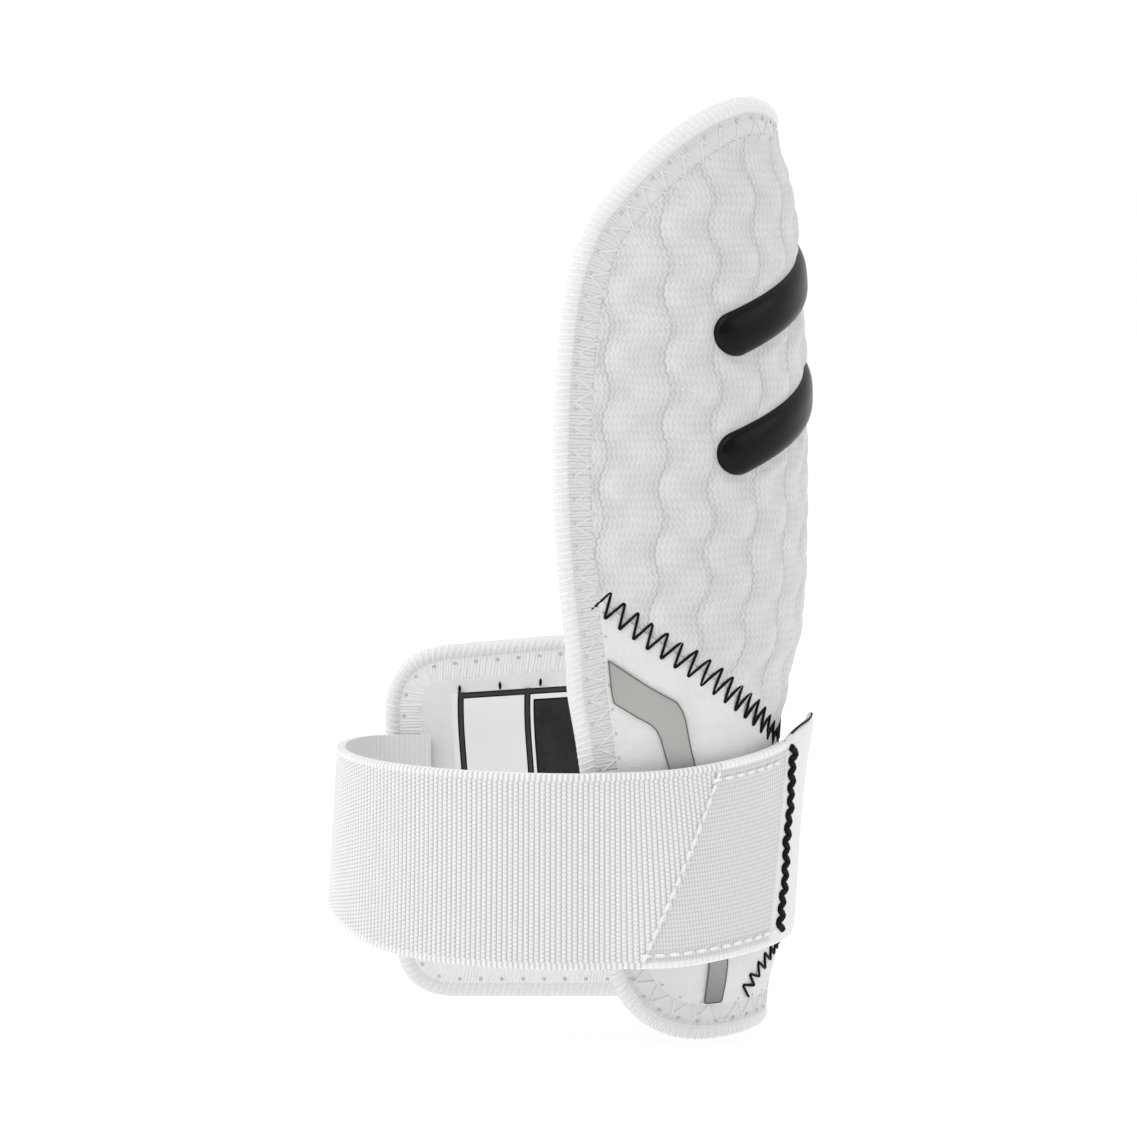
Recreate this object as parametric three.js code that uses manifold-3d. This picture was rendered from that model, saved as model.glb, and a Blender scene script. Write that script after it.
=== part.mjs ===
// A batting hand protector: a padded shield for the back of the hand, with an elastic strap round the palm.
// Millimetres, +Z up, standing on its wrist hem. The back of the hand faces +X and the strap loops round -X.
// Panels are cut on a flat pattern and bent to the hand: "along" runs round the hand from the back line,
// negative towards the near edge, "height" runs up, and "off" is the distance outwards from the bent pattern.
import * as THREE from "three";
import { mergeVertices } from "three/addons/utils/BufferGeometryUtils.js";
import Module from "manifold-3d";

// Driving sizes
const TOP = 186.3;
const GAP = 0.3;
const BINDING_WIDTH = 7.6;
const BINDING_STEPS = 128;
const EDGE_HALF = 2.1;
const PAD_HALF = 2.9;
const PAD_RAMP = 12;
const WING_FROM = 38;
const WING_TO = 60;
const BUBBLE_WIDTH = 10;
const BUBBLE_HEIGHT = 12.7;
const BUBBLE_AT = { along: 3, height: BUBBLE_HEIGHT / 2 };
const BUBBLE_RISE = 0.7;
const BUBBLE_SHARPNESS = 0.7;
const PLAIN_STEP = { along: 5, height: 9 };
const DOME = 0.002;
const STRAP_THICKNESS = 1.6;
const STRAP_LEVELS = 4;
const STRAP_LEAN = 3;
const LEAN_FROM = 30;
const LEAN_TO = 50;
const TAB_FLARE = 2.6;
const FLARE_FROM = -14;
const TAB_FROM = { top: -11.5, low: -17.5 };
const TAB_TO = { top: 1.5, low: -8 };
const TAB_THICKNESS = 2.2;
const HOOK_THICKNESS = 1.2;
const HOOK_START = { top: -26.5, low: -37.5 };
const HOOK_END = { top: -13.5, low: -19.5 };
const TAPE_THICKNESS = 0.5;
const LABEL = { from: 40, to: 77.6, low: 26, top: 64.6, tilt: -0.07, thickness: 0.6 };
const BAR = { length: 54, width: 8.6, rise: 1.2, tilt: 0.38, along: -6 };
const BAR_HEIGHTS = { rubber_bar_upper: 149, rubber_bar_lower: 126 };

// How many flat steps make up each curved stretch
const STEPS = { sewnEnd: 3, corner: 7, front: 18, wall: 14, tab: 4, hook: 10, barEnd: 10 };

// The bent form at each height: the back's x, and the y of the near and the far wall, at mid thickness
const FORM = [
  { height: 0, back: 38.0, near: -18.0, far: 26.0 },
  { height: 15, back: 39.3, near: -22.3, far: 26.0 },
  { height: 30, back: 39.3, near: -25.8, far: 26.0 },
  { height: 45, back: 39.3, near: -27.0, far: 26.0 },
  { height: 60, back: 39.3, near: -27.2, far: 26.0 },
  { height: 70, back: 40.4, near: -27.2, far: 26.0 },
  { height: 80, back: 42.8, near: -27.2, far: 26.0 },
  { height: 92, back: 43.8, near: -27.2, far: 26.0 },
  { height: 113, back: 44.0, near: -27.0, far: 26.0 },
  { height: 136, back: 43.6, near: -27.0, far: 26.0 },
  { height: 157, back: 42.1, near: -26.5, far: 25.5 },
  { height: 172, back: 40.6, near: -25.5, far: 24.5 },
  { height: TOP, back: 38.6, near: -24.0, far: 23.0 },
];

// The flat pattern's edge as curve stretches, from the near end of the level hem round to its far end.
// Each row gives the two handles of a stretch and where it ends, as along and height.
const HEM = { near: -22, far: 74 };
const EDGE = [
  { name: "near lobe", out: [-35, 0], into: [-45, 7], end: [-47.5, 22] },
  { name: "under the strap", out: [-49.3, 33], into: [-51.2, 49], end: [-53.2, 60] },
  { name: "near flank", out: [-55.5, 72], into: [-62.4, 80], end: [-62.4, 114] },
  { name: "near shoulder", out: [-62.4, 136], into: [-60, 152], end: [-52.1, 163.6] },
  { name: "near slope", out: [-45, 171.5], into: [-30, TOP], end: [-15, TOP] },
  { name: "far slope", out: [-2, TOP], into: [38, 172], end: [49, 163] },
  { name: "far shoulder", out: [56, 152], into: [58, 136], end: [58, 120] },
  { name: "far flank", out: [58, 106], into: [50, 104], end: [49, 92] },
  { name: "inner corner", out: [48, 80], into: [50, 77], end: [60, 76.2] },
  { name: "wing top", out: [66, 75.7], into: [74, 74.9], end: [80, 74.4] },
  { name: "wing upper corner", out: [88, 73.7], into: [92.6, 70], end: [92.6, 61] },
  { name: "wing end", out: [92.6, 46], into: [91.5, 30], end: [90, 17] },
  { name: "wing lower corner", out: [88.7, 5.5], into: [83.5, 0], end: [HEM.far, 0] },
];

// The seam between knit and loop fabric, drawn past both edges of the pattern: down from the near edge
// to the back line, then up to the wing's top edge
const SEAM_NEAR = -90;
const SEAM_FAR = 130;
const SEAM = [
  { along: SEAM_NEAR, height: 113.5 },
  { along: -52.9, height: 89.6 },
  { along: -48.3, height: 86.2 },
  { along: -18.3, height: 66.8 },
  { along: -7, height: 59.2 },
  { along: 50, height: 80 },
  { along: SEAM_FAR, height: 109 },
];

// The tape's outline, from the near binding round one bend and down to the hem, and back
const TAPE_LOW = BINDING_WIDTH + 2 * GAP;
const TAPE_OUTLINE = [
  { along: -49.7, height: 77.5 },
  { along: -46.9, height: 69.6 },
  { along: -38.6, height: 65.1 },
  { along: -35.8, height: 57.4 },
  { along: -26.6, height: 16.7 },
  { along: -25.8, height: TAPE_LOW },
  { along: -22.1, height: TAPE_LOW },
  { along: -22.8, height: 16.5 },
  { along: -31.1, height: 57.4 },
  { along: -35.1, height: 69.2 },
];

// Where the strap lies on the near wall and round the back: its top and lower edge
const STRAP_WALL = [
  { along: -51, top: 56.0, low: 17.2 },
  { along: -37, top: 56.6, low: 17.8 },
  { along: -23, top: 58.2, low: 19.2 },
  { along: -8, top: 60.2, low: 20.4 },
  { along: 2, top: 61.6, low: 21.0 },
];
const STRAP_PLAN_HEIGHT = 48;

// The strap's free turn round the palm: where it leaves the wing and meets the near wall, and for each of
// its edges the point furthest left, with the power that keeps the wall's height until late in the turn
const STRAP_FRONT_X = 3;
const STRAP_END_X = -28.3;
const STRAP_LEAVES_X = -37.5;
const STRAP_WING_TOP = 55.6;
const STRAP_WING_LOW = 17.4;
const TURN = {
  top: { x: -46.0, y: 6, height: 56.0 },
  low: { x: -48.4, y: 12, height: 22.6 },
};
const TURN_POWER = 7;

const FINISHES = {
  knit: { color: 0xe4e6e6, roughness: 0.9 },
  loop: { color: 0xeceeee, roughness: 0.95 },
  binding: { color: 0xf0f1f1, roughness: 0.85 },
  elastic: { color: 0xe9ebec, roughness: 0.8 },
  hook: { color: 0xe9ebec, roughness: 0.9 },
  tape: { color: 0xb2b4af, roughness: 0.6 },
  label: { color: 0xf4f4f3, roughness: 0.7 },
  rubber: { color: 0x151515, roughness: 0.35 },
};

const wasm = await Module();
wasm.setup();

// A value of the form's tables at any height, on a smooth curve through the rows
function smooth(rows, at, key, value) {
  const last = rows.length - 1;
  let i = 0;
  while (i < last - 1 && value > rows[i + 1][at]) i += 1;
  const slope = (k) => {
    const before = rows[Math.max(k - 1, 0)];
    const after = rows[Math.min(k + 1, last)];
    return (after[key] - before[key]) / (after[at] - before[at]);
  };
  const span = rows[i + 1][at] - rows[i][at];
  const t = THREE.MathUtils.clamp((value - rows[i][at]) / span, 0, 1);
  const ease = t * t * (3 - 2 * t);
  const rise = slope(i) * span * t * (1 - t) ** 2 - slope(i + 1) * span * t * t * (1 - t);
  return THREE.MathUtils.lerp(rows[i][key], rows[i + 1][key], ease) + rise;
}

// Bends a point of the flat pattern round the hand: straight walls and a half circle at the back
function bend(along, height, off) {
  const near = smooth(FORM, "height", "near", height);
  const far = smooth(FORM, "height", "far", height);
  const radius = (far - near) / 2;
  const centreX = smooth(FORM, "height", "back", height) - radius;
  const quarter = (radius * Math.PI) / 2;
  const beyond = Math.max(0, Math.abs(along) - quarter);
  const turn = THREE.MathUtils.clamp(along, -quarter, quarter) / radius;
  return new THREE.Vector3(
    centreX + (radius + off) * Math.cos(turn) - beyond,
    (near + far) / 2 + (radius + off) * Math.sin(turn),
    height,
  );
}

// The flat edge as evenly spaced points, and the same edge moved inwards
function edgePoints() {
  const shape = new THREE.Shape();
  shape.moveTo(HEM.near, 0);
  for (const { out, into, end } of EDGE) shape.bezierCurveTo(...out, ...into, ...end);
  shape.lineTo(HEM.near, 0);
  return shape.getSpacedPoints(BINDING_STEPS).slice(0, BINDING_STEPS);
}

function inwards(points, distance) {
  return points.map((point, i) => {
    const before = points[(i + points.length - 1) % points.length];
    const after = points[(i + 1) % points.length];
    const heading = after.clone().sub(before).normalize();
    return new THREE.Vector2(point.x + heading.y * distance, point.y - heading.x * distance);
  });
}

const edge = edgePoints();
const panelEdge = inwards(edge, BINDING_WIDTH + GAP);

// How far the padding has risen, from 0 at the binding to 1 in the middle of a panel
function crown(along, height) {
  let nearest = Infinity;
  for (const point of panelEdge) {
    nearest = Math.min(nearest, Math.hypot(point.x - along, point.y - height));
  }
  return THREE.MathUtils.smoothstep(nearest, 0, PAD_RAMP);
}

function face(along, height) {
  const wing = THREE.MathUtils.smoothstep(along, WING_FROM, WING_TO);
  return EDGE_HALF + (PAD_HALF - EDGE_HALF) * (1 - wing) * crown(along, height);
}

// Bubbles of the knit, in columns that step half a bubble against each other
function bubble(along, height) {
  const across = Math.cos((Math.PI * (along - BUBBLE_AT.along)) / BUBBLE_WIDTH);
  const up = Math.cos((2 * Math.PI * (height - BUBBLE_AT.height)) / BUBBLE_HEIGHT);
  return BUBBLE_RISE * crown(along, height) * (0.5 + 0.5 * across * up) ** BUBBLE_SHARPNESS;
}

// Closed geometry from points and triangles
function geometry(points, triangles) {
  const made = new THREE.BufferGeometry();
  const places = points.flatMap((point) => point.toArray());
  made.setAttribute("position", new THREE.Float32BufferAttribute(places, 3));
  made.setIndex(triangles.flat());
  return made;
}

function toSolid(source) {
  const bare = source.clone();
  bare.deleteAttribute("normal");
  bare.deleteAttribute("uv");
  const merged = mergeVertices(bare);
  return new wasm.Manifold(
    new wasm.Mesh({
      numProp: 3,
      vertProperties: Float32Array.from(merged.attributes.position.array),
      triVerts: Uint32Array.from(merged.index.array),
    }),
  );
}

// Triangles between two rows of points that run side by side from the same start to the same end
function zip(left, right) {
  const triangles = [];
  let i = 0;
  let j = 0;
  while (i < left.length - 1 || j < right.length - 1) {
    if (j === right.length - 1 || (i + 1) / (left.length - 1) <= (j + 1) / (right.length - 1)) {
      if (i < left.length - 1) {
        triangles.push([left[i], right[j], left[i + 1]]);
        i += 1;
        continue;
      }
    }
    triangles.push([left[i], right[j], right[j + 1]]);
    j += 1;
  }
  return triangles;
}

// A slab with a grid on each face, as the raw cloth that a panel is cut from: off is above 0 outside and
// below 0 inside. Both faces are domed a little, so that no two cells are level and each keeps its corners
// when it is cut.
function slab(box, outerStep, innerStep) {
  const points = [];
  const triangles = [];
  const faces = [
    { off: 1, step: outerStep },
    { off: -1, step: innerStep },
  ];
  const rims = faces.map(({ off, step }) => {
    const columns = Math.ceil((box.max.x - box.min.x) / step.along);
    const rows = Math.ceil((box.max.y - box.min.y) / step.height);
    const at = (i, j) => start + j * (columns + 1) + i;
    const start = points.length;
    for (let j = 0; j <= rows; j += 1) {
      for (let i = 0; i <= columns; i += 1) {
        const point = new THREE.Vector3(box.min.x + i * step.along, box.min.y + j * step.height, 0);
        points.push(point.setZ(off * (1 + DOME * point.lengthSq())));
      }
    }
    for (let j = 0; j < rows; j += 1) {
      for (let i = 0; i < columns; i += 1) {
        const quad = [at(i, j), at(i + 1, j), at(i + 1, j + 1), at(i, j + 1)];
        if (off < 0) quad.reverse();
        triangles.push([quad[0], quad[1], quad[2]], [quad[0], quad[2], quad[3]]);
      }
    }
    const across = Array.from({ length: columns + 1 }, (_, i) => i);
    const up = Array.from({ length: rows + 1 }, (_, j) => j);
    return [
      across.map((i) => at(i, 0)),
      up.map((j) => at(columns, j)),
      across.map((i) => at(columns - i, rows)),
      up.map((j) => at(0, rows - j)),
    ];
  });
  for (let side = 0; side < 4; side += 1) triangles.push(...zip(rims[0][side], rims[1][side]));
  return geometry(points, triangles);
}

// An upright cutter of the given outline, deep enough for the whole domed slab
function prism(points) {
  const depth = 4 * DOME * TOP * TOP;
  const made = new THREE.ExtrudeGeometry(new THREE.Shape(points), { depth, bevelEnabled: false });
  return toSolid(made.translate(0, 0, -depth / 2));
}

// A panel cut from flat cloth along one or more outlines, then bent, with its faces at the given distances
function cutPanel(outlines, outerStep, innerStep, inside, outside) {
  const box = new THREE.Box2().setFromPoints(outlines[0]);
  const whole = (low, step) => Math.floor(low / step - 1) * step;
  box.min.set(whole(box.min.x, innerStep.along), whole(box.min.y, innerStep.height));
  box.max.set(-whole(-box.max.x, innerStep.along), -whole(-box.max.y, innerStep.height));
  let cut = toSolid(slab(box, outerStep, innerStep));
  for (const outline of outlines) cut = cut.intersect(prism(outline));
  const mesh = cut.getMesh();
  const points = [];
  for (let i = 0; i < mesh.vertProperties.length; i += mesh.numProp) {
    const [along, height, off] = mesh.vertProperties.slice(i, i + 3);
    points.push(bend(along, height, (off > 0 ? outside : inside)(along, height)));
  }
  const triangles = [];
  for (let i = 0; i < mesh.triVerts.length; i += 3) triangles.push([...mesh.triVerts.slice(i, i + 3)]);
  return geometry(points, triangles);
}

// A closed skin over a grid of station rows, each point with a place on either face
function skin(grid) {
  const rows = grid.length;
  const columns = grid[0].length;
  const points = [...grid.flat().map((p) => p.outer), ...grid.flat().map((p) => p.inner)];
  const outer = (i, j) => i * columns + j;
  const inner = (i, j) => rows * columns + i * columns + j;
  const triangles = [];
  const quad = (a, b, c, d) => triangles.push([a, b, c], [a, c, d]);
  for (let i = 0; i < rows - 1; i += 1) {
    for (let j = 0; j < columns - 1; j += 1) {
      quad(outer(i, j), outer(i + 1, j), outer(i + 1, j + 1), outer(i, j + 1));
      quad(inner(i, j), inner(i, j + 1), inner(i + 1, j + 1), inner(i + 1, j));
    }
    quad(outer(i, 0), inner(i, 0), inner(i + 1, 0), outer(i + 1, 0));
    const top = columns - 1;
    quad(outer(i, top), outer(i + 1, top), inner(i + 1, top), inner(i, top));
  }
  const last = rows - 1;
  for (let j = 0; j < columns - 1; j += 1) {
    quad(outer(0, j), outer(0, j + 1), inner(0, j + 1), inner(0, j));
    quad(outer(last, j), inner(last, j), inner(last, j + 1), outer(last, j + 1));
  }
  return geometry(points, triangles);
}

// Knit and loop panels, divided by the seam
const seamLine = (shift) => SEAM.map(({ along, height }) => new THREE.Vector2(along, height + shift));
const level = (height) => [new THREE.Vector2(SEAM_NEAR, height), new THREE.Vector2(SEAM_FAR, height)];
const aboveSeam = [...seamLine(GAP), ...level(TOP).reverse()];
const belowSeam = [...level(-GAP), ...seamLine(-GAP).reverse()];

function knitPanel() {
  const outerStep = { along: BUBBLE_WIDTH / 3, height: BUBBLE_HEIGHT / 4 };
  const innerStep = { along: (BUBBLE_WIDTH / 3) * 2, height: BUBBLE_HEIGHT };
  const outside = (along, height) => face(along, height) + bubble(along, height);
  return cutPanel([panelEdge, aboveSeam], outerStep, innerStep, (u, v) => -face(u, v), outside);
}

function loopPanel() {
  return cutPanel([panelEdge, belowSeam], PLAIN_STEP, PLAIN_STEP, (u, v) => -face(u, v), face);
}

// The binding's section: distance in from the edge, and share of the half thickness
const BINDING_SECTION = [
  { inset: 0, share: -0.4 },
  { inset: 0, share: 0.4 },
  { inset: 0.7, share: 0.85 },
  { inset: 2.2, share: 1 },
  { inset: BINDING_WIDTH, share: 1 },
  { inset: BINDING_WIDTH, share: -1 },
  { inset: 2.2, share: -1 },
  { inset: 0.7, share: -0.85 },
];

function edgeBinding() {
  const rings = BINDING_SECTION.map(({ inset }) => inwards(edge, inset));
  const sides = BINDING_SECTION.length;
  const points = [];
  for (let i = 0; i < edge.length; i += 1) {
    BINDING_SECTION.forEach(({ share }, k) => {
      points.push(bend(rings[k][i].x, rings[k][i].y, share * EDGE_HALF));
    });
  }
  const triangles = [];
  for (let i = 0; i < edge.length; i += 1) {
    const next = (i + 1) % edge.length;
    for (let k = 0; k < sides; k += 1) {
      const turn = (k + 1) % sides;
      const quad = [i * sides + k, i * sides + turn, next * sides + turn, next * sides + k];
      triangles.push([quad[0], quad[1], quad[2]], [quad[0], quad[2], quad[3]]);
    }
  }
  return geometry(points, triangles);
}

// A point of the strap's middle surface on the wall, at a share of its width from the lower edge
const STRAP_OFF = PAD_HALF + TAPE_THICKNESS + HOOK_THICKNESS + 3 * GAP + STRAP_THICKNESS / 2;

function onWall(along, share) {
  const low = smooth(STRAP_WALL, "along", "low", along);
  const top = smooth(STRAP_WALL, "along", "top", along);
  const flare = TAB_FLARE * THREE.MathUtils.smoothstep(along, FLARE_FROM, TAB_TO.top) * share ** 3;
  const lean = STRAP_LEAN * THREE.MathUtils.smoothstep(-along, LEAN_FROM, LEAN_TO);
  const off = STRAP_OFF + flare - lean * (1 - share);
  return bend(along, STRAP_PLAN_HEIGHT, off).setZ(THREE.MathUtils.lerp(low, top, share));
}

// The strap's two edges from its sewn end, off the wing, round the palm and up to the near wall
function freeEdge(turn, endHeight, wallStart) {
  const wingY = smooth(FORM, "height", "far", STRAP_PLAN_HEIGHT) - EDGE_HALF - GAP - STRAP_THICKNESS / 2;
  const points = [];
  for (let i = 0; i < STEPS.sewnEnd; i += 1) {
    const x = THREE.MathUtils.lerp(STRAP_END_X, STRAP_LEAVES_X, i / STEPS.sewnEnd);
    points.push(new THREE.Vector3(x, wingY, endHeight));
  }
  for (let i = 0; i < STEPS.corner; i += 1) {
    const angle = (Math.PI / 2) * (i / STEPS.corner);
    const x = STRAP_LEAVES_X + (turn.x - STRAP_LEAVES_X) * Math.sin(angle);
    const y = turn.y + (wingY - turn.y) * Math.cos(angle);
    const z = THREE.MathUtils.lerp(endHeight, turn.height, Math.sin(angle) ** 2);
    points.push(new THREE.Vector3(x, y, z));
  }
  for (let i = 0; i < STEPS.front; i += 1) {
    const angle = (Math.PI / 2) * (i / STEPS.front);
    const x = wallStart.x + (turn.x - wallStart.x) * Math.cos(angle);
    const y = turn.y + (wallStart.y - turn.y) * Math.sin(angle);
    const z = THREE.MathUtils.lerp(wallStart.z, turn.height, Math.cos(angle) ** TURN_POWER);
    points.push(new THREE.Vector3(x, y, z));
  }
  return points;
}

// Gives each point of a grid its two faces, at distances outwards from the middle surface
function thicken(middle, inside, outside) {
  const rows = middle.length - 1;
  const columns = middle[0].length - 1;
  return middle.map((row, i) =>
    row.map((point, j) => {
      const ahead = middle[Math.min(i + 1, rows)][j].clone().sub(middle[Math.max(i - 1, 0)][j]);
      const up = row[Math.min(j + 1, columns)].clone().sub(row[Math.max(j - 1, 0)]);
      const normal = ahead.cross(up).normalize();
      return {
        outer: point.clone().addScaledVector(normal, outside),
        inner: point.clone().addScaledVector(normal, inside),
      };
    }),
  );
}

const shares = Array.from({ length: STRAP_LEVELS + 1 }, (_, j) => j / STRAP_LEVELS);

// A border across the strap, slanted from its lower to its top edge
const slanted = ({ low, top }, shift = 0) => (share) => THREE.MathUtils.lerp(low, top, share) + shift;

// The strap's middle surface on the wall, between two borders
function wallGrid(startAt, endAt, steps) {
  const grid = [];
  for (let i = 0; i <= steps; i += 1) {
    const along = (share) => THREE.MathUtils.lerp(startAt(share), endAt(share), i / steps);
    grid.push(shares.map((share) => onWall(along(share), share)));
  }
  return grid;
}

// The place along the near wall where the strap's free turn ends
function wallStartAlong() {
  const near = smooth(FORM, "height", "near", STRAP_PLAN_HEIGHT);
  const far = smooth(FORM, "height", "far", STRAP_PLAN_HEIGHT);
  const radius = (far - near) / 2;
  const centreX = smooth(FORM, "height", "back", STRAP_PLAN_HEIGHT) - radius;
  return -((radius * Math.PI) / 2 + centreX - STRAP_FRONT_X);
}

function elasticStrap() {
  const start = wallStartAlong();
  const low = freeEdge(TURN.low, STRAP_WING_LOW, onWall(start, 0));
  const top = freeEdge(TURN.top, STRAP_WING_TOP, onWall(start, 1));
  const free = low.map((point, i) => shares.map((share) => point.clone().lerp(top[i], share)));
  const wall = wallGrid(() => start, slanted(TAB_FROM, -GAP), STEPS.wall);
  return skin(thicken([...free, ...wall], -STRAP_THICKNESS / 2, STRAP_THICKNESS / 2));
}

function strapTab() {
  const grid = wallGrid(slanted(TAB_FROM), slanted(TAB_TO), STEPS.tab);
  return skin(thicken(grid, -TAB_THICKNESS / 2, TAB_THICKNESS / 2));
}

function hookPatch() {
  const grid = wallGrid(slanted(HOOK_START), slanted(HOOK_END), STEPS.hook);
  const outside = -STRAP_THICKNESS / 2 - GAP;
  return skin(thicken(grid, outside - HOOK_THICKNESS, outside));
}

// The tape lies on the loop panel's face
function greyTape() {
  const outline = TAPE_OUTLINE.map(({ along, height }) => new THREE.Vector2(along, height));
  const inside = (along, height) => face(along, height) + GAP;
  const outside = (along, height) => inside(along, height) + TAPE_THICKNESS;
  return cutPanel([outline], PLAIN_STEP, PLAIN_STEP, inside, outside);
}

// The label lies on the loop panel's inner face, in the wing
function innerLabel() {
  const outline = [
    new THREE.Vector2(LABEL.from, LABEL.low),
    new THREE.Vector2(LABEL.to, LABEL.low),
    new THREE.Vector2(LABEL.to, LABEL.top),
    new THREE.Vector2(LABEL.from, LABEL.top),
  ];
  const middle = new THREE.Vector2((LABEL.from + LABEL.to) / 2, (LABEL.low + LABEL.top) / 2);
  for (const corner of outline) corner.rotateAround(middle, LABEL.tilt);
  const outside = (along, height) => -face(along, height) - GAP;
  const inside = (along, height) => outside(along, height) - LABEL.thickness;
  return cutPanel([outline], PLAIN_STEP, PLAIN_STEP, inside, outside);
}

// A slanting bar with round ends, seated on the tops of the bubbles
function rubberBar(height) {
  const reach = (BAR.length - BAR.width) / 2;
  const shape = new THREE.Shape();
  shape.absarc(reach, 0, BAR.width / 2, -Math.PI / 2, Math.PI / 2, false);
  shape.absarc(-reach, 0, BAR.width / 2, Math.PI / 2, (3 * Math.PI) / 2, false);
  const centre = new THREE.Vector2(BAR.along, height);
  const origin = new THREE.Vector2();
  const place = (point) => point.rotateAround(origin, BAR.tilt).add(centre);
  const outline = shape.getPoints(STEPS.barEnd).map(place);
  const seat = PAD_HALF + BUBBLE_RISE + GAP / 2;
  return cutPanel([outline], PLAIN_STEP, PLAIN_STEP, () => seat, () => seat + BAR.rise);
}

// The assembly
function piece(name, shape, finish) {
  const mesh = new THREE.Mesh(shape, new THREE.MeshStandardMaterial({ ...finish, metalness: 0 }));
  mesh.name = name;
  return mesh;
}

const handProtector = new THREE.Group();
handProtector.add(
  piece("knit_panel", knitPanel(), FINISHES.knit),
  piece("loop_panel", loopPanel(), FINISHES.loop),
  piece("edge_binding", edgeBinding(), FINISHES.binding),
  piece("elastic_strap", elasticStrap(), FINISHES.elastic),
  piece("strap_tab", strapTab(), FINISHES.elastic),
  piece("hook_patch", hookPatch(), FINISHES.hook),
  piece("grey_tape", greyTape(), FINISHES.tape),
  piece("inner_label", innerLabel(), FINISHES.label),
);
for (const [name, height] of Object.entries(BAR_HEIGHTS)) {
  handProtector.add(piece(name, rubberBar(height), FINISHES.rubber));
}

// The origin is the middle of the object's box, on the surface that it stands on
const box = new THREE.Box3().setFromObject(handProtector);
const middle = box.getCenter(new THREE.Vector3());
handProtector.position.set(-middle.x, -middle.y, -box.min.z);

export default handProtector;
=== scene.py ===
# %% [markdown]
# # Dressing a batting hand protector
# The real guard is a padded shield for the back of a batter's hand. Its upper part is a white bubble knit,
# its lower part is brushed loop fabric, an overlocked edge runs all round, and an elastic strap closes it
# round the palm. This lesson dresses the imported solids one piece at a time.
# Everything is worked out on the flat pattern in millimetres, bent to the hand by one function, and
# turned into metres when a mesh is made.

# %% Load the frame
import math

import bpy
import numpy as np
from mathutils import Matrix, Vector
from mathutils.geometry import delaunay_2d_cdt
from mathutils.kdtree import KDTree


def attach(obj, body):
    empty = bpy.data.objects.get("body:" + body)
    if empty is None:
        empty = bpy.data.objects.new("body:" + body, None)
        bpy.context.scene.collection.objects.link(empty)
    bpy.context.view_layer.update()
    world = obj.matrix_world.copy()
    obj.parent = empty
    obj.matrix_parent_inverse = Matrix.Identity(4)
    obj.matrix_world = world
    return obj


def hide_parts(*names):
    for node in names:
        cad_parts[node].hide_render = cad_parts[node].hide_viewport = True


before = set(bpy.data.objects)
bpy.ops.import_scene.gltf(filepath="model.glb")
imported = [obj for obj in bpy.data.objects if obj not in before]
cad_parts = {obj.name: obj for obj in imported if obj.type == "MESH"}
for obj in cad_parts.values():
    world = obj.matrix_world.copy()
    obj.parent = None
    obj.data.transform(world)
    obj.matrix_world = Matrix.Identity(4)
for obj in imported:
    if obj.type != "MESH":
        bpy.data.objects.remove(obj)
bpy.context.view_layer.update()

MM = 0.001
print("solids:", ", ".join(sorted(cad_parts)))

# %% [markdown]
# ## Sums of sockets
# A pattern such as a knit is a formula, and a formula is easier to read as a sum than as a picture of
# nodes. One small class wraps a socket. Adding or multiplying two of them adds a Math node, and `node`
# makes any other node. Geometry Nodes share the Math node, so the class serves both kinds of tree.


# %% The socket class
class Wire:
    def __init__(self, tree, socket=None):
        self.tree = tree
        self.socket = socket

    def node(self, kind, settings=None, sockets=None, out=0):
        made = self.tree.nodes.new(kind)
        for key, value in (settings or {}).items():
            setattr(made, key, value)
        for key, value in (sockets or {}).items():
            for one in value if isinstance(value, list) else [value]:
                if isinstance(one, Wire):
                    self.tree.links.new(one.socket, made.inputs[key])
                else:
                    made.inputs[key].default_value = one
        return Wire(self.tree, None if out is None else made.outputs[out])

    def out(self, name):
        return Wire(self.tree, self.socket.node.outputs[name])

    def maths(self, operation, *values):
        return self.node("ShaderNodeMath", {"operation": operation}, dict(enumerate(values)))

    def __add__(self, other):
        return self.maths("ADD", self, other)

    def __sub__(self, other):
        return self.maths("SUBTRACT", self, other)

    def __rsub__(self, other):
        return self.maths("SUBTRACT", other, self)

    def __mul__(self, other):
        return self.maths("MULTIPLY", self, other)

    def __truediv__(self, other):
        return self.maths("DIVIDE", self, other)

    def __pow__(self, other):
        return self.maths("POWER", self, other)

    __radd__ = __add__

    def wave(self):
        return self.maths("SINE", self * (2 * math.pi)) * 0.5 + 0.5

    def fraction(self):
        return self.maths("FRACT", self)

    def above(self, limit):
        return self.maths("GREATER_THAN", self, limit)

    def size(self):
        return self.maths("ABSOLUTE", self)

    def mix(self, first, second):
        sockets = {0: self, 6: first, 7: second}
        return self.node("ShaderNodeMix", {"data_type": "RGBA"}, sockets, out=2)

    def noise(self, scale, detail=2.0, roughness=0.5):
        sockets = {"Vector": self, "Scale": scale, "Detail": detail, "Roughness": roughness}
        return self.node("ShaderNodeTexNoise", None, sockets)


print("socket class ready:", Wire.__name__)

# %% [markdown]
# ## The form of the hand
# The guard is bent round a hand: two straight walls and a half circle at the back. A short table gives
# the form at each height, and `bend` maps a point of the flat pattern to its place. "Along" runs round the
# hand from the back line, "height" runs up, and "off" is the distance outwards from mid thickness.

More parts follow.
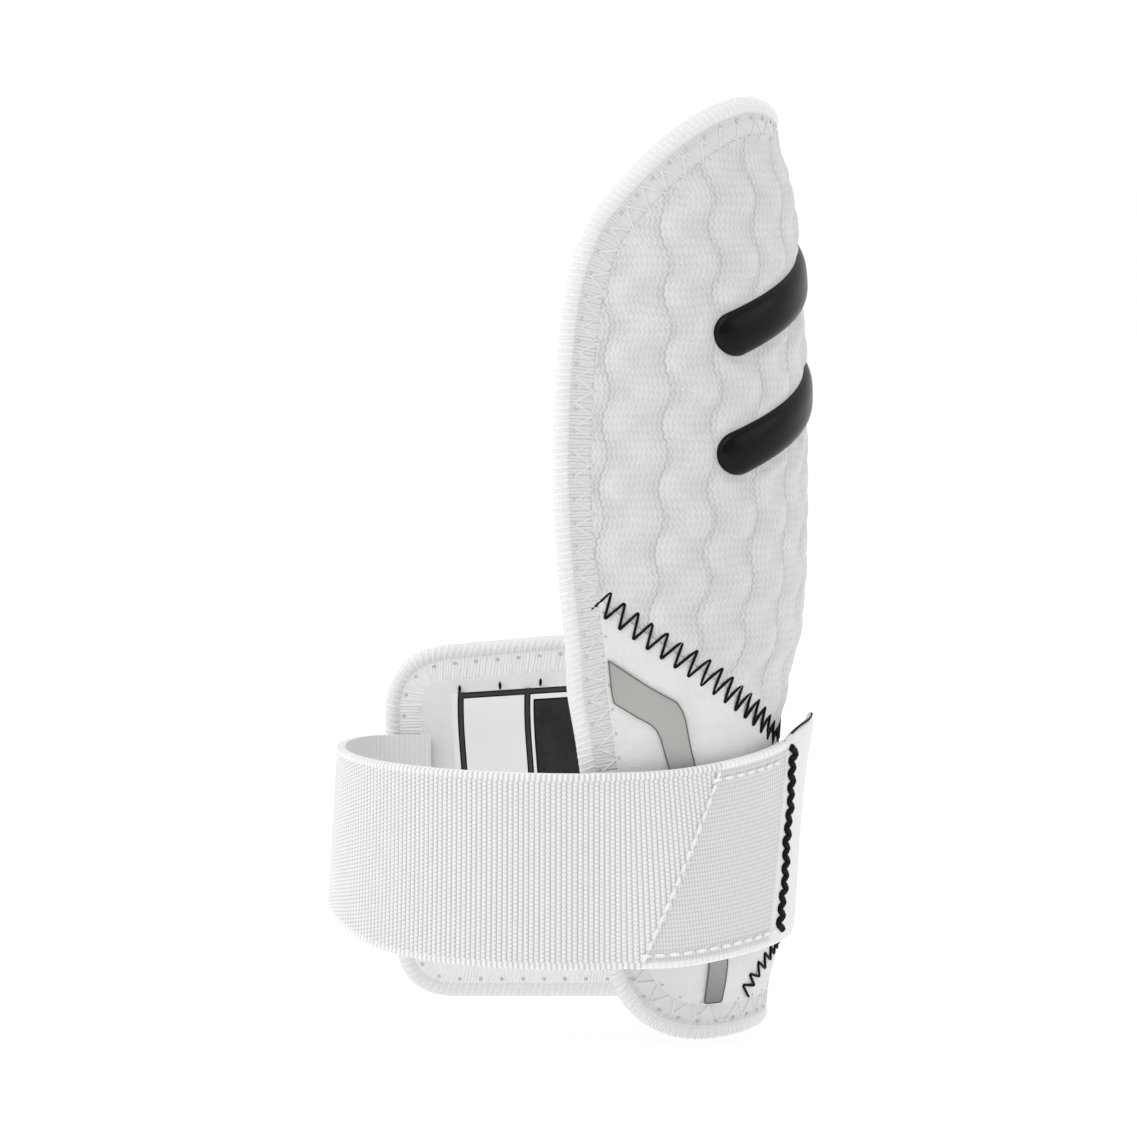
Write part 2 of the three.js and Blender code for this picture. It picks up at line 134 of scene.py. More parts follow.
# %% The bent form
PLACE = np.array([-0.0065, 2.423, 0.0])  # the form's own zero, in the frame
TOP = 186.3
BACK, NEAR, FAR = 1, 2, 3
FORM = np.array([
    # height, back x, near y, far y
    (0, 38.0, -18.0, 26.0),
    (15, 39.3, -22.3, 26.0),
    (30, 39.3, -25.8, 26.0),
    (45, 39.3, -27.0, 26.0),
    (60, 39.3, -27.2, 26.0),
    (70, 40.4, -27.2, 26.0),
    (80, 42.8, -27.2, 26.0),
    (92, 43.8, -27.2, 26.0),
    (113, 44.0, -27.0, 26.0),
    (136, 43.6, -27.0, 26.0),
    (157, 42.1, -26.5, 25.5),
    (172, 40.6, -25.5, 24.5),
    (TOP, 38.6, -24.0, 23.0),
])


def smooth(rows, column, at):
    x = rows[:, 0]
    y = rows[:, column]
    slope = np.gradient(y)
    slope[1:-1] = (y[2:] - y[:-2]) / (x[2:] - x[:-2])
    slope[0] = (y[1] - y[0]) / (x[1] - x[0])
    slope[-1] = (y[-1] - y[-2]) / (x[-1] - x[-2])
    i = np.clip(np.searchsorted(x, at) - 1, 0, len(x) - 2)
    span = x[i + 1] - x[i]
    t = np.clip((at - x[i]) / span, 0, 1)
    level = y[i] + (y[i + 1] - y[i]) * t * t * (3 - 2 * t)
    return level + span * (slope[i] * t * (1 - t) ** 2 - slope[i + 1] * t * t * (1 - t))


def ease(value, low, high):
    t = np.clip((value - low) / (high - low), 0, 1)
    return t * t * (3 - 2 * t)


def between(low, high, share):
    return low + (high - low) * share


def bend(along, height, off):
    along, height, off = np.broadcast_arrays(along, height, off)
    near = smooth(FORM, NEAR, height)
    far = smooth(FORM, FAR, height)
    radius = (far - near) / 2
    quarter = radius * np.pi / 2
    beyond = np.maximum(0, np.abs(along) - quarter)
    turn = np.clip(along, -quarter, quarter) / radius
    x = smooth(FORM, BACK, height) - radius + (radius + off) * np.cos(turn) - beyond
    y = (near + far) / 2 + (radius + off) * np.sin(turn)
    return np.stack([x, y, height], axis=-1) + PLACE


print("back line at mid height, mm:", bend(0.0, TOP / 2, 0.0).round(1))

# %% [markdown]
# ## The flat pattern
# The pattern's edge is drawn as a few curve stretches, as a pattern cutter draws it. From it come the
# binding, which follows the edge at set distances inwards, and the two panels, which a seam divides.

# %% The pattern's edge
HEM_NEAR = -22.0
HEM_FAR = 74.0
EDGE = [
    # first handle, second handle, end of the stretch
    ((-35, 0), (-45, 7), (-47.5, 22)),
    ((-49.3, 33), (-51.2, 49), (-53.2, 60)),
    ((-55.5, 72), (-62.4, 80), (-62.4, 114)),
    ((-62.4, 136), (-60, 152), (-52.1, 163.6)),
    ((-45, 171.5), (-30, TOP), (-15, TOP)),
    ((-2, TOP), (38, 172), (49, 163)),
    ((56, 152), (58, 136), (58, 120)),
    ((58, 106), (50, 104), (49, 92)),
    ((48, 80), (50, 77), (60, 76.2)),
    ((66, 75.7), (74, 74.9), (80, 74.4)),
    ((88, 73.7), (92.6, 70), (92.6, 61)),
    ((92.6, 46), (91.5, 30), (90, 17)),
    ((88.7, 5.5), (83.5, 0), (HEM_FAR, 0)),
]
EDGE_STEP = 0.6
CURVE_POINTS = 80


def bezier(start, out, into, end):
    t = np.linspace(0, 1, CURVE_POINTS, endpoint=False)[:, None]
    start, out, into, end = (np.array(p, float) for p in (start, out, into, end))
    rise = 3 * (1 - t) ** 2 * t * out + 3 * (1 - t) * t**2 * into
    return (1 - t) ** 3 * start + rise + t**3 * end


def spaced(points, step, closed=False):
    line = np.vstack([points, points[:1]]) if closed else np.asarray(points, float)
    steps = np.linalg.norm(np.diff(line, axis=0), axis=1)
    length = np.concatenate([[0], np.cumsum(steps)])
    count = max(2, round(length[-1] / step))
    at = np.linspace(0, length[-1], count + (not closed), endpoint=not closed)
    return np.stack([np.interp(at, length, column) for column in line.T], axis=1)


def edge_line():
    start = (HEM_NEAR, 0)
    stretches = []
    for out, into, end in EDGE:
        stretches.append(bezier(start, out, into, end))
        start = end
    stretches.append(np.array([start], float))
    return spaced(np.vstack(stretches), EDGE_STEP, closed=True)


def inset(line, distance):
    heading = np.roll(line, -1, axis=0) - np.roll(line, 1, axis=0)
    heading /= np.linalg.norm(heading, axis=1, keepdims=True)
    return line + distance * np.stack([heading[:, 1], -heading[:, 0]], axis=1)


edge = edge_line()
print("edge points:", len(edge), "edge length, mm:", round(len(edge) * EDGE_STEP))

# %% [markdown]
# ## Padding and seam
# Foam fills the panels, so each face swells from the binding to its full thickness over a few
# millimetres. The seam between the two fabrics drops from the near edge to the back line and climbs to
# the wing. A function of "along" is enough for it, because the seam never turns back.

# %% Padding and seam
BINDING_WIDTH = 7.6
EDGE_HALF = 1.75
PAD_HALF = 2.9
PAD_RAMP = 12.0
WING_FROM = 38.0
WING_TO = 60.0
SEAM_GAP = 0.05
SEAM_DIP = 0.35
SEAM_REACH = 3.0
INSET_SLACK = 0.03
SEAM = np.array([
    # along, height
    (-90, 113.5),
    (-52.9, 89.6),
    (-48.3, 86.2),
    (-18.3, 66.8),
    (-7, 59.2),
    (50, 80.0),
    (130, 109.0),
])


def seam(along):
    return np.interp(along, SEAM[:, 0], SEAM[:, 1])


def distance_to(line, flat):
    tree = KDTree(len(line))
    for i, (along, height) in enumerate(line):
        tree.insert((along, height, 0), i)
    tree.balance()
    return np.array([tree.find((along, height, 0))[2] for along, height in flat])


# Points that the inset pushes past each other in a tight corner are dropped
panel_edge = inset(edge, BINDING_WIDTH)
panel_edge = panel_edge[distance_to(edge, panel_edge) > BINDING_WIDTH - INSET_SLACK]


def face(flat):
    crown = ease(distance_to(panel_edge, flat), 0, PAD_RAMP)
    wing = ease(flat[:, 0], WING_FROM, WING_TO)
    dip = SEAM_DIP * (1 - ease(np.abs(flat[:, 1] - seam(flat[:, 0])), 0, SEAM_REACH))
    return EDGE_HALF + (PAD_HALF - EDGE_HALF) * (1 - wing) * crown - dip * crown


def lining_face(flat):
    return -face(flat)


def one_side_of_seam(outline, side, step):
    kept = side * (outline[:, 1] - seam(outline[:, 0])) > SEAM_GAP
    first = np.flatnonzero(kept & ~np.roll(kept, 1))[0]
    run = np.roll(outline, -first, axis=0)[np.roll(kept, -first)]
    along = np.linspace(run[-1, 0], run[0, 0], round(abs(run[-1, 0] - run[0, 0]) / step))[1:-1]
    return np.vstack([run, np.stack([along, seam(along) + side * SEAM_GAP], axis=1)])


print("padding thickness at the middle, mm:", 2 * PAD_HALF)

# %% [markdown]
# ## Pieces
# A piece is one mesh from points and faces in millimetres, with its finishes. A map named "pattern" keeps
# the flat coordinates, so weave and print follow the cloth. `belongs` attaches a piece to the root body
# and hides the solids it dresses.


# %% Adding a piece
def add_piece(name, points, faces, finishes, pattern=None, chosen=None, sharp=None):
    mesh = bpy.data.meshes.new(name)
    mesh.from_pydata((np.asarray(points) * MM).tolist(), [], [list(corners) for corners in faces])
    for finish in finishes:
        mesh.materials.append(finish)
    if chosen is not None:
        mesh.polygons.foreach_set("material_index", np.asarray(chosen, np.int32))
    if pattern is not None:
        corner = np.empty(len(mesh.loops), np.int32)
        mesh.loops.foreach_get("vertex_index", corner)
        layer = mesh.uv_layers.new(name="pattern")
        layer.data.foreach_set("uv", np.asarray(pattern, np.float32)[corner].ravel())
    mesh.shade_smooth()
    if sharp is not None:
        mesh.set_sharp_from_angle(angle=sharp)
    mesh.update()
    piece = bpy.data.objects.new(name, mesh)
    bpy.context.scene.collection.objects.link(piece)
    print(name, "has", len(mesh.polygons), "faces")
    return piece


def belongs(piece, slot, *nodes):
    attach(piece, "root")
    if nodes:
        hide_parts(*nodes)
    return piece


print("piece helpers ready, one unit is", MM, "m")

# %% [markdown]
# ## Cutting cloth
# A panel is cut out of a fine flat grid along its outline by a constrained triangulation, which keeps the
# outline exact and the inside even. Each flat point then gets two places, one on each face, and a rim
# joins the faces.

# %% Cutting a panel
PANEL_SHARP = math.radians(50)
RIM_CLEAR = 0.6
CUT_TOLERANCE = 1e-6


def inside(flat, outline):
    x, y = flat.T
    odd = np.zeros(len(flat), bool)
    for (x1, y1), (x2, y2) in zip(outline, np.roll(outline, -1, axis=0)):
        if y1 != y2:
            odd ^= ((y1 > y) != (y2 > y)) & (x < (x2 - x1) * (y - y1) / (y2 - y1) + x1)
    return odd


def cut_cloth(outline, step):
    low = outline.min(axis=0)
    high = outline.max(axis=0)
    axes = [np.arange(low[k] + step / 2, high[k], step) for k in range(2)]
    grid = np.stack(np.meshgrid(*axes), axis=-1).reshape(-1, 2)
    grid = grid[inside(grid, outline)]
    grid = grid[distance_to(outline, grid) > RIM_CLEAR * step]
    flat = [Vector(point) for point in np.vstack([outline, grid])]
    cut = delaunay_2d_cdt(flat, [], [list(range(len(outline)))], 1, CUT_TOLERANCE)
    return np.array(cut[0]), np.array(cut[2])


def padded_panel(name, outline, steps, outside, within, finishes, pattern=None):
    x, y = outline.T
    if np.sum(x * np.roll(y, -1) - np.roll(x, -1) * y) < 0:
        outline = outline[::-1]
    outer, outer_faces = cut_cloth(outline, steps[0])
    inner, inner_faces = cut_cloth(outline, steps[1])
    points = np.vstack([bend(*outer.T, outside(outer)), bend(*inner.T, within(inner))])
    here = np.arange(len(outline))
    after = np.roll(here, -1)
    start = len(outer)
    rim = np.vstack([
        np.stack([after, here, here + start], axis=1),
        np.stack([after, here + start, after + start], axis=1),
    ])
    faces = np.vstack([outer_faces, inner_faces[:, ::-1] + start, rim])
    chosen = np.ones(len(faces), np.int32) * (len(finishes) - 1)
    chosen[: len(outer_faces)] = 0
    flat = np.vstack([outer if pattern is None else pattern(outer), inner])
    return add_piece(name, points, faces, finishes, flat, chosen, PANEL_SHARP)


print("panels are creased above, degrees:", round(math.degrees(PANEL_SHARP)))

# %% [markdown]
# ## Finishes for cloth
# Every finish starts from a Principled shader. A number that is the same all over is set on the shader's
# own socket, and only colour, roughness and the bump that feeds the normal change over the surface.


# %% A finish and its patterns
def new_finish(name, colour, roughness, sheen=0.0):
    material = bpy.data.materials.new(name)
    material.use_nodes = True
    shader = material.node_tree.nodes["Principled BSDF"]
    shader.inputs["Base Color"].default_value = (*colour, 1)
    shader.inputs["Roughness"].default_value = roughness
    shader.inputs["Sheen Weight"].default_value = sheen
    shader.inputs["Sheen Roughness"].default_value = 0.4
    shader.inputs["Specular IOR Level"].default_value = 0.25
    return material, Wire(material.node_tree), shader


def feed(wire, shader, socket):
    wire.tree.links.new(wire.socket, shader.inputs[socket])


def bump(height, shader, distance, strength=1.0):
    sockets = {"Height": height, "Distance": distance * MM, "Strength": strength}
    feed(height.node("ShaderNodeBump", None, sockets), shader, "Normal")


def pattern_of(tree):
    place = tree.node("ShaderNodeUVMap", {"uv_map": "pattern"})
    split = tree.node("ShaderNodeSeparateXYZ", None, {0: place})
    return place, split, split.out("Y")


def object_place(tree):
    return tree.node("ShaderNodeTexCoord").out("Object")


def grey(level, tint=(1.0, 1.0, 1.0)):
    return tuple(level * part for part in tint) + (1.0,)


COOL = (0.995, 1.0, 1.003)
print("finish helpers ready, white cloth is tinted", COOL)

# %% [markdown]
# ## Bubble knit
# The shield's knit has fine upright wales that sway a little, and it puffs up into columns of bubbles. A
# column swells to its right and to its left by turns, and the valleys sway with it. The bubbles are real
# shape, and their tops are painted a shade lighter and their hollows darker, as painted light and shade.
# The wales are finer than the mesh, so they are a groove in the bump, with painted shade in the grooves,
# more in the valleys, painted highlights on the slanted stitch legs, and here and there a painted glint
# where a loop of yarn catches the light.

# %% The knit's finish
WALE_PITCH = 0.95
WALE_SWAY = 0.36
WALE_WAVE = 1.62
BUBBLE_WIDTH = 8.8
BUBBLE_HEIGHT = 12.4
BUBBLE_AT = 105.0
EDGE_COLUMN = 11.5
KNIT_LIGHT = 0.86
KNIT_DARK = 0.43


def knit_finish():
    material, tree, shader = new_finish("bubble_knit", (0.8, 0.8, 0.8), 0.85, 0.15)
    place, level, up = pattern_of(tree)
    drift = place.noise(0.12, 2.0)
    beat = up / WALE_WAVE + drift * 1.6
    wale = ((level + beat.wave() * WALE_SWAY + drift * 0.4) / WALE_PITCH).wave()
    groove = wale ** 3.0
    # painted highlight and shade on the slanted stitch legs; leg also shapes the bump
    leg = (beat + 0.25).wave()
    column = level / (EDGE_COLUMN - level.above(0.0) * (EDGE_COLUMN - BUBBLE_WIDTH))
    valley = (column.fraction() * 2.0 - 1.0).size() ** 5.0
    side = (column.fraction() * 0.5 - 0.25).wave() * 2.0 - 1.0
    rung = ((up - BUBBLE_AT) / BUBBLE_HEIGHT + 0.25).wave() * 2.0 - 1.0
    blotch = place.noise(0.35, 3.0)
    # painted highlight: specks where a loop of yarn catches the light
    painted_glint = place.noise(2.4, 1.0).above(0.6) * place.noise(0.13, 1.0).above(0.56)
    # painted shade: the wale grooves are painted darker, more in the valleys; blotch is the knit's own
    # uneven tone
    tone = groove * (0.07 + blotch * 0.12 + valley * 0.17) + leg * 0.05 + valley * 0.07
    # painted light and shade: side times rung paints the bubble tops lighter and their hollows darker
    tone = tone + (blotch - 0.5) * 0.16 - side * rung * 0.08 - painted_glint * 0.17 + 0.36
    feed(tone.mix(grey(KNIT_LIGHT, COOL), grey(KNIT_DARK, COOL)), shader, "Base Color")
    bump(leg * 0.25 * (1 - groove) - groove * (0.4 + valley * 0.6) - valley * 0.4, shader, 0.09)
    return material


knit = knit_finish()
print("finish:", knit.name)

# %% [markdown]
# ## Brushed loop fabric
# The lower panel and the lining are a loop fabric that is brushed to a soft nap. Two noises do it: a fine
# one for the nap and a coarse one for the slight mottling where the nap lies in different directions. The
# lining is painted a little whiter, which is painted light that lifts the shade inside the guard.


# %% The loop fabric's finish
def loop_finish(name, light, dark):
    material, tree, shader = new_finish(name, (light, light, light), 0.95, 0.35)
    place = pattern_of(tree)[0]
    nap = place.noise(2.6, 4.0, 0.65)
    mottle = place.noise(0.16, 3.0)
    tone = (nap - 0.5) * 0.7 + (mottle - 0.5) * 0.8 + 0.3
    feed(tone.mix(grey(light, COOL), grey(dark, COOL)), shader, "Base Color")
    bump(nap + mottle * 0.6, shader, 0.28, 0.8)
    return material


loop = loop_finish("brushed_loop", 0.88, 0.7)
# painted light: the lining is a lighter copy of the loop fabric, lifting the shaded inside
lining_painted_light = loop_finish("brushed_lining_painted_light", 0.97, 0.84)
print("finishes:", loop.name, lining_painted_light.name)

# %% [markdown]
# ## The raised bars' places
# Two plain rubber bars are fused to the shield. Their outlines are needed before the knit is made,
# because the heat that fuses them presses the bubbles flat underneath.

# %% Bars on the pattern
BAR_LENGTH = 54.0
BAR_WIDTH = 8.6
BAR_TILT = 0.38
BAR_ALONG = -6.0
BAR_HEIGHTS = {"upper": 149.0, "lower": 126.0}
BAR_REACH = (BAR_LENGTH - BAR_WIDTH) / 2


def from_bar(flat, height):
    along, up = (flat - (BAR_ALONG, height)).T
    across = -along * math.sin(BAR_TILT) + up * math.cos(BAR_TILT)
    run = along * math.cos(BAR_TILT) + up * math.sin(BAR_TILT)
    return np.hypot(np.maximum(np.abs(run) - BAR_REACH, 0), across) - BAR_WIDTH / 2


print("bars at heights, mm:", BAR_HEIGHTS)

# %% [markdown]
# ## Knit panel
# The shield's outer face is the padding plus the bubbles, which die out at the binding, the seam and the
# bars. Only this face needs a fine grid: the lining inside is smooth.

# %% The knit panel
BUBBLE_RISE = 0.95
BUBBLE_SWAY = 0.6
BUBBLE_RAMP = 5.0
PILLOW_SQUARE = 2.4
PILLOW_DOME = 0.8
PILLOW_LEAST = 0.3
SEAM_PRESS = (0.5, 6.0)
BAR_PRESS = 2.5
VALLEY_AT = -40.8
VALLEY_LEVEL = 116.5
VALLEY_LEAN = 0.055


def bubble_turn(flat):
    return 2 * np.pi * (flat[:, 1] - BUBBLE_AT) / BUBBLE_HEIGHT


def knit_pattern(flat):
    along, height = flat.T
    valley = VALLEY_AT + VALLEY_LEAN * (height - VALLEY_LEVEL) + BUBBLE_SWAY * np.cos(bubble_turn(flat))
    return np.stack([along - valley, height], axis=1)


def bubbles(flat):
    level = knit_pattern(flat)[:, 0]
    column = level / np.where(level > 0, BUBBLE_WIDTH, EDGE_COLUMN)
    across = column - np.floor(column)
    pillow = (1 - np.abs(2 * across - 1) ** PILLOW_SQUARE) ** PILLOW_DOME
    swell = ease(-np.cos(np.pi * across) * np.cos(bubble_turn(flat)), -0.5, 0.5)
    return pillow * between(PILLOW_LEAST, 1, swell)


def knit_outside(flat):
    pressed = ease(distance_to(panel_edge, flat), 0, BUBBLE_RAMP)
    pressed *= ease(flat[:, 1] - seam(flat[:, 0]), *SEAM_PRESS)
    for height in BAR_HEIGHTS.values():
        pressed *= ease(from_bar(flat, height), 0, BAR_PRESS)
    return face(flat) + BUBBLE_RISE * bubbles(flat) * pressed


KNIT_STEPS = (0.45, 1.6)
knit_outline = one_side_of_seam(panel_edge, 1, EDGE_STEP)
shield = padded_panel("knit_shield", knit_outline, KNIT_STEPS, knit_outside, lining_face, [knit, lining_painted_light],
                      knit_pattern)
belongs(shield, "bubble_knit", "knit_panel")

# %% [markdown]
# ## Loop panel
# The loop panel runs under the strap, round the back and out into the far wing. It has no bubbles, only
# the slow unevenness of foam under cloth, so its grid can be coarser.

# %% The loop panel
LOOP_STEPS = (0.8, 1.6)
UNEVEN = 0.12


def loop_outside(flat):
    along, height = flat.T
    soft = np.sin(along * 0.31 + height * 0.17) + np.sin(along * 0.13 - height * 0.29 + 1)
    return face(flat) + UNEVEN * soft * ease(distance_to(panel_edge, flat), 0, BUBBLE_RAMP)


loop_outline = one_side_of_seam(panel_edge, -1, EDGE_STEP)
cuff = padded_panel("loop_cuff", loop_outline, LOOP_STEPS, loop_outside, lining_face, [loop, lining_painted_light])
belongs(cuff, "brushed_loop", "loop_panel")

# %% [markdown]
# ## Thread
# Thread is spun, so light breaks on its twist. A fine noise in the colour and the bump is enough at this
# size. The same finish serves white and black thread, and the grey balls of painted shade where a needle
# went in. The white thread has darker copies, painted shade for the bead's body, the strip and the looper,
# and a lighter copy, painted light for the inner face.


# %% Thread finishes
def thread_finish(name, light, dark, roughness, sheen):
    material, tree, shader = new_finish(name, (light, light, light), roughness, sheen)
    fibre = object_place(tree).noise(3800.0, 2.0)
    feed(fibre.mix(grey(dark, COOL), grey(light, COOL)), shader, "Base Color")
    bump(fibre, shader, 0.1, 0.5)
    shader.inputs["Specular IOR Level"].default_value = 0.12
    return material


white_thread = thread_finish("overlock_thread", 0.94, 0.86, 0.8, 0.1)
# painted shade: darker copies of the white thread for the bead's body, the strip and the looper; painted
# light: a lighter copy for the inner face
bead_thread_painted_shade = thread_finish("overlock_bead_painted_shade", 0.85, 0.77, 0.85, 0.1)
strip_thread_painted_shade = thread_finish("overlock_strip_painted_shade", 0.77, 0.68, 0.85, 0.1)
inner_thread_painted_light = thread_finish("overlock_inside_painted_light", 0.98, 0.92, 0.85, 0.1)
looper_thread_painted_shade = thread_finish("looper_thread_painted_shade", 0.8, 0.71, 0.85, 0.1)
black_thread = thread_finish("black_thread", 0.008, 0.002, 0.6, 0.0)
needle_dent = thread_finish("needle_dent", 0.62, 0.54, 0.95, 0.0)
whites = [white_thread, bead_thread_painted_shade, strip_thread_painted_shade, inner_thread_painted_light, looper_thread_painted_shade]
print("white threads:", ", ".join(thread.name for thread in whites))
print("dark threads:", black_thread.name, needle_dent.name)

# %% [markdown]
# ## Trees that sew
# Stitches repeat along a path, which is what Geometry Nodes are for. A path is a mesh of edges with two
# vectors on each point: "inward", across the seam, and "outward", away from the cloth.


# %% Paths
def path_object(name, lines, closed, inward, outward):
    points = np.vstack(lines) * MM
    edges = []
    start = 0
    for line in lines:
        last = start + len(line) - 1
        edges += [(i, i + 1) for i in range(start, last)]
        if closed:
            edges.append((last, start))
        start = last + 1
    mesh = bpy.data.meshes.new(name)
    mesh.from_pydata(points.tolist(), edges, [])
    for key, vectors in (("inward", inward), ("outward", outward)):
        layer = mesh.attributes.new(key, "FLOAT_VECTOR", "POINT")
        layer.data.foreach_set("vector", np.vstack(vectors).astype(np.float32).ravel())
    piece = bpy.data.objects.new(name, mesh)
    bpy.context.scene.collection.objects.link(piece)
    return piece


print("a path's vectors are named inward and outward")

# %% [markdown]
# ## The start and end of a tree
# Every sewing tree starts alike: its sizes and its finish are named inputs, and the path becomes a curve.
# Every one ends alike too: instances are made real, shaded smooth with crisp edges, and given the finish.

# %% Starting and ending a tree
SHARP_EDGE = 1.5


def new_tree(name, sizes):
    tree = bpy.data.node_groups.new(name, "GeometryNodeTree")
    tree.interface.new_socket("Path", in_out="INPUT", socket_type="NodeSocketGeometry")
    for label in sizes:
        tree.interface.new_socket(label, in_out="INPUT", socket_type="NodeSocketFloat")
    tree.interface.new_socket("Finish", in_out="INPUT", socket_type="NodeSocketMaterial")
    tree.interface.new_socket("Sewn", in_out="OUTPUT", socket_type="NodeSocketGeometry")
    entry = Wire(tree).node("NodeGroupInput")
    curve = entry.node("GeometryNodeMeshToCurve", None, {"Mesh": entry.out("Path")})
    return entry, curve


def vector(entry, name):
    return entry.node("GeometryNodeInputNamedAttribute", {"data_type": "FLOAT_VECTOR"}, {"Name": name})


def tube(entry, curve, radius, sides):
    ring = entry.node("GeometryNodeCurvePrimitiveCircle", None, {"Resolution": sides, "Radius": radius})
    sockets = {"Curve": curve, "Profile Curve": ring, "Fill Caps": True}
    return entry.node("GeometryNodeCurveToMesh", None, sockets)


def end_tree(entry, sewn):
    whole = entry.node("GeometryNodeRealizeInstances", None, {"Geometry": sewn})
    soft = entry.node("GeometryNodeSetShadeSmooth", None, {"Geometry": whole})
    angle = entry.node("GeometryNodeInputMeshEdgeAngle")
    sockets = {"Geometry": soft, "Selection": angle.above(SHARP_EDGE), "Shade Smooth": False}
    crisp = entry.node("GeometryNodeSetShadeSmooth", {"domain": "EDGE"}, sockets)
    sockets = {"Geometry": crisp, "Material": entry.out("Finish")}
    worn = entry.node("GeometryNodeSetMaterial", None, sockets)
    entry.node("NodeGroupOutput", None, {"Sewn": worn}, out=None)
    return entry.tree


print("edges sharper than this stay crisp, radians:", SHARP_EDGE)

# %% [markdown]
# ## Growing thread
# `grow` puts a tree on a path, fills in its inputs and turns the result into a plain mesh, so no modifier
# is left. Sizes are in millimetres here, apart from angles and shares. `sew` does it for a single course.

# %% Growing
SHARES = ("Slant", "Dip", "Flatness")


def grow(path, tree, sizes, finish, slot):
    modifier = path.modifiers.new("sewing", "NODES")
    modifier.node_group = tree
    for item in tree.interface.items_tree:
        if item.in_out == "INPUT" and item.name in sizes:
            unit = 1.0 if item.name in SHARES else MM
            modifier[item.identifier] = sizes[item.name] * unit
        if item.in_out == "INPUT" and item.name == "Finish":
            modifier[item.identifier] = finish
    graph = bpy.context.evaluated_depsgraph_get()
    mesh = bpy.data.meshes.new_from_object(path.evaluated_get(graph), depsgraph=graph)
    path.modifiers.clear()
    path.data = mesh
    print(path.name, "has", len(mesh.polygons), "faces")
    return belongs(path, slot)


def sew(name, course, tree, sizes, finish, slot, closed=False):
    here, inward, outward = course
    return grow(path_object(name, [here], closed, inward, outward), tree, sizes, finish, slot)


print("sewing helpers ready, inputs that are no lengths:", ", ".join(SHARES))

# %% [markdown]
# ## The bound edge
# An overlock machine winds thread round a raw edge. A plain body gives the edge its bulk: a bead at the
# rim, a groove beside it and a flat strip that laps onto the panel. The threads are laid on it afterwards.
# The outer strip and the bead's body take darker copies of the thread's finish, which are painted shade,
# and the inner face a lighter one, which is painted light.

# %% The edge's body
BEAD_AT = 2.2
BEAD_RADIUS = 1.92
BEAD_ANGLES = np.radians(np.linspace(55, 305, 15))
GROOVE_AT = 4.2
STRIP_END = 8.2
STRIP = np.array([
    # inset, off
    (8.4, 1.3),
    (7.8, 1.45),
    (6.6, 1.5),
    (5.2, 1.5),
    (GROOVE_AT, 1.4),
])


def grid_faces(rows, columns, loop_rows=False, loop_columns=False):
    row = np.arange(rows if loop_rows else rows - 1)[:, None]
    column = np.arange(columns if loop_columns else columns - 1)[None, :]
    next_row = (row + 1) % rows * columns
    next_column = (column + 1) % columns
    here = row * columns
    corners = [here + column, here + next_column, next_row + next_column, next_row + column]
    return np.stack(np.broadcast_arrays(*corners), axis=-1).reshape(-1, 4)


def edge_profile():
    bead = BEAD_RADIUS * np.stack([np.cos(BEAD_ANGLES), np.sin(BEAD_ANGLES)], axis=1) + (BEAD_AT, 0)
    return np.vstack([STRIP, bead, STRIP[::-1] * (1, -1)])


profile = edge_profile()
rings = np.stack([bend(*inset(edge, depth).T, off) for depth, off in profile], axis=1)
faces = grid_faces(len(edge), len(profile), True, True)
column = np.arange(len(faces)) % len(profile)
zone = np.digitize(column, (len(STRIP), len(profile) - len(STRIP) - 1))
# painted shade on the outer strip and the bead's body, painted light on the inner face
edge_finishes = [strip_thread_painted_shade, bead_thread_painted_shade, inner_thread_painted_light]
bound_edge = add_piece("bound_edge", rings.reshape(-1, 3), faces, edge_finishes, chosen=zone)
belongs(bound_edge, "overlock_edge", "edge_binding")

# %% [markdown]
# ## Courses and turned threads
# A course is a line with its two vectors, found by looking a short way aside and a short way out. In a
# tree those vectors turn each thread to lie across its seam, and a tilt by a random angle with a fixed
# seed keeps the row from looking drawn with a ruler.

# %% Courses and turned threads
PROBE = 0.5


def edge_frame(depth, off):
    line = inset(edge, depth)
    here = bend(*line.T, off)
    inward = bend(*inset(edge, depth + PROBE).T, off) - here
    outward = bend(*line.T, off + PROBE) - here
    return here, inward / PROBE, outward / PROBE


def axes_of(entry):
    sockets = {"Primary Axis": vector(entry, "outward"), "Secondary Axis": vector(entry, "inward")}
    return entry.node("FunctionNodeAxesToRotation", {"primary_axis": "Y", "secondary_axis": "X"}, sockets)


def spread(entry, low, high, seed):
    sockets = {2: low, 3: high, 8: seed}
    return entry.node("FunctionNodeRandomValue", {"data_type": "FLOAT"}, sockets, out=1)


def tilted(entry, turned, axis, angle):
    tilt = entry.node("FunctionNodeAxisAngleToRotation", None, {"Axis": axis, "Angle": angle})
    return entry.node("FunctionNodeRotateRotation", {"rotation_space": "LOCAL"}, {0: turned, 1: tilt})


def beads_along(entry, curve):
    sockets = {"Curve": curve, "Length": entry.out("Pitch")}
    return entry.node("GeometryNodeCurveToPoints", {"mode": "LENGTH"}, sockets)


def set_on(entry, points, shape, turned, scale=(1, 1, 1)):
    sockets = {"Points": points, "Instance": shape, "Rotation": turned, "Scale": scale}
    return entry.node("GeometryNodeInstanceOnPoints", None, sockets)


print("a course looks aside and out by, mm:", PROBE)

# %% [markdown]
# ## Wound thread
# Each turn of thread is an open ring that clasps the bead from groove to groove. The tree sets rings along
# the bead's middle line at a small pitch, sinks every other one a little, and turns each by its own angle,
# as thread never lies quite square.

# %% The wound thread's tree
WIND_PITCH = 0.64
ARC_FROM = math.radians(48)
ARC_SWEEP = math.radians(264)
ARC_POINTS = 10
THREAD_SIDES = 5


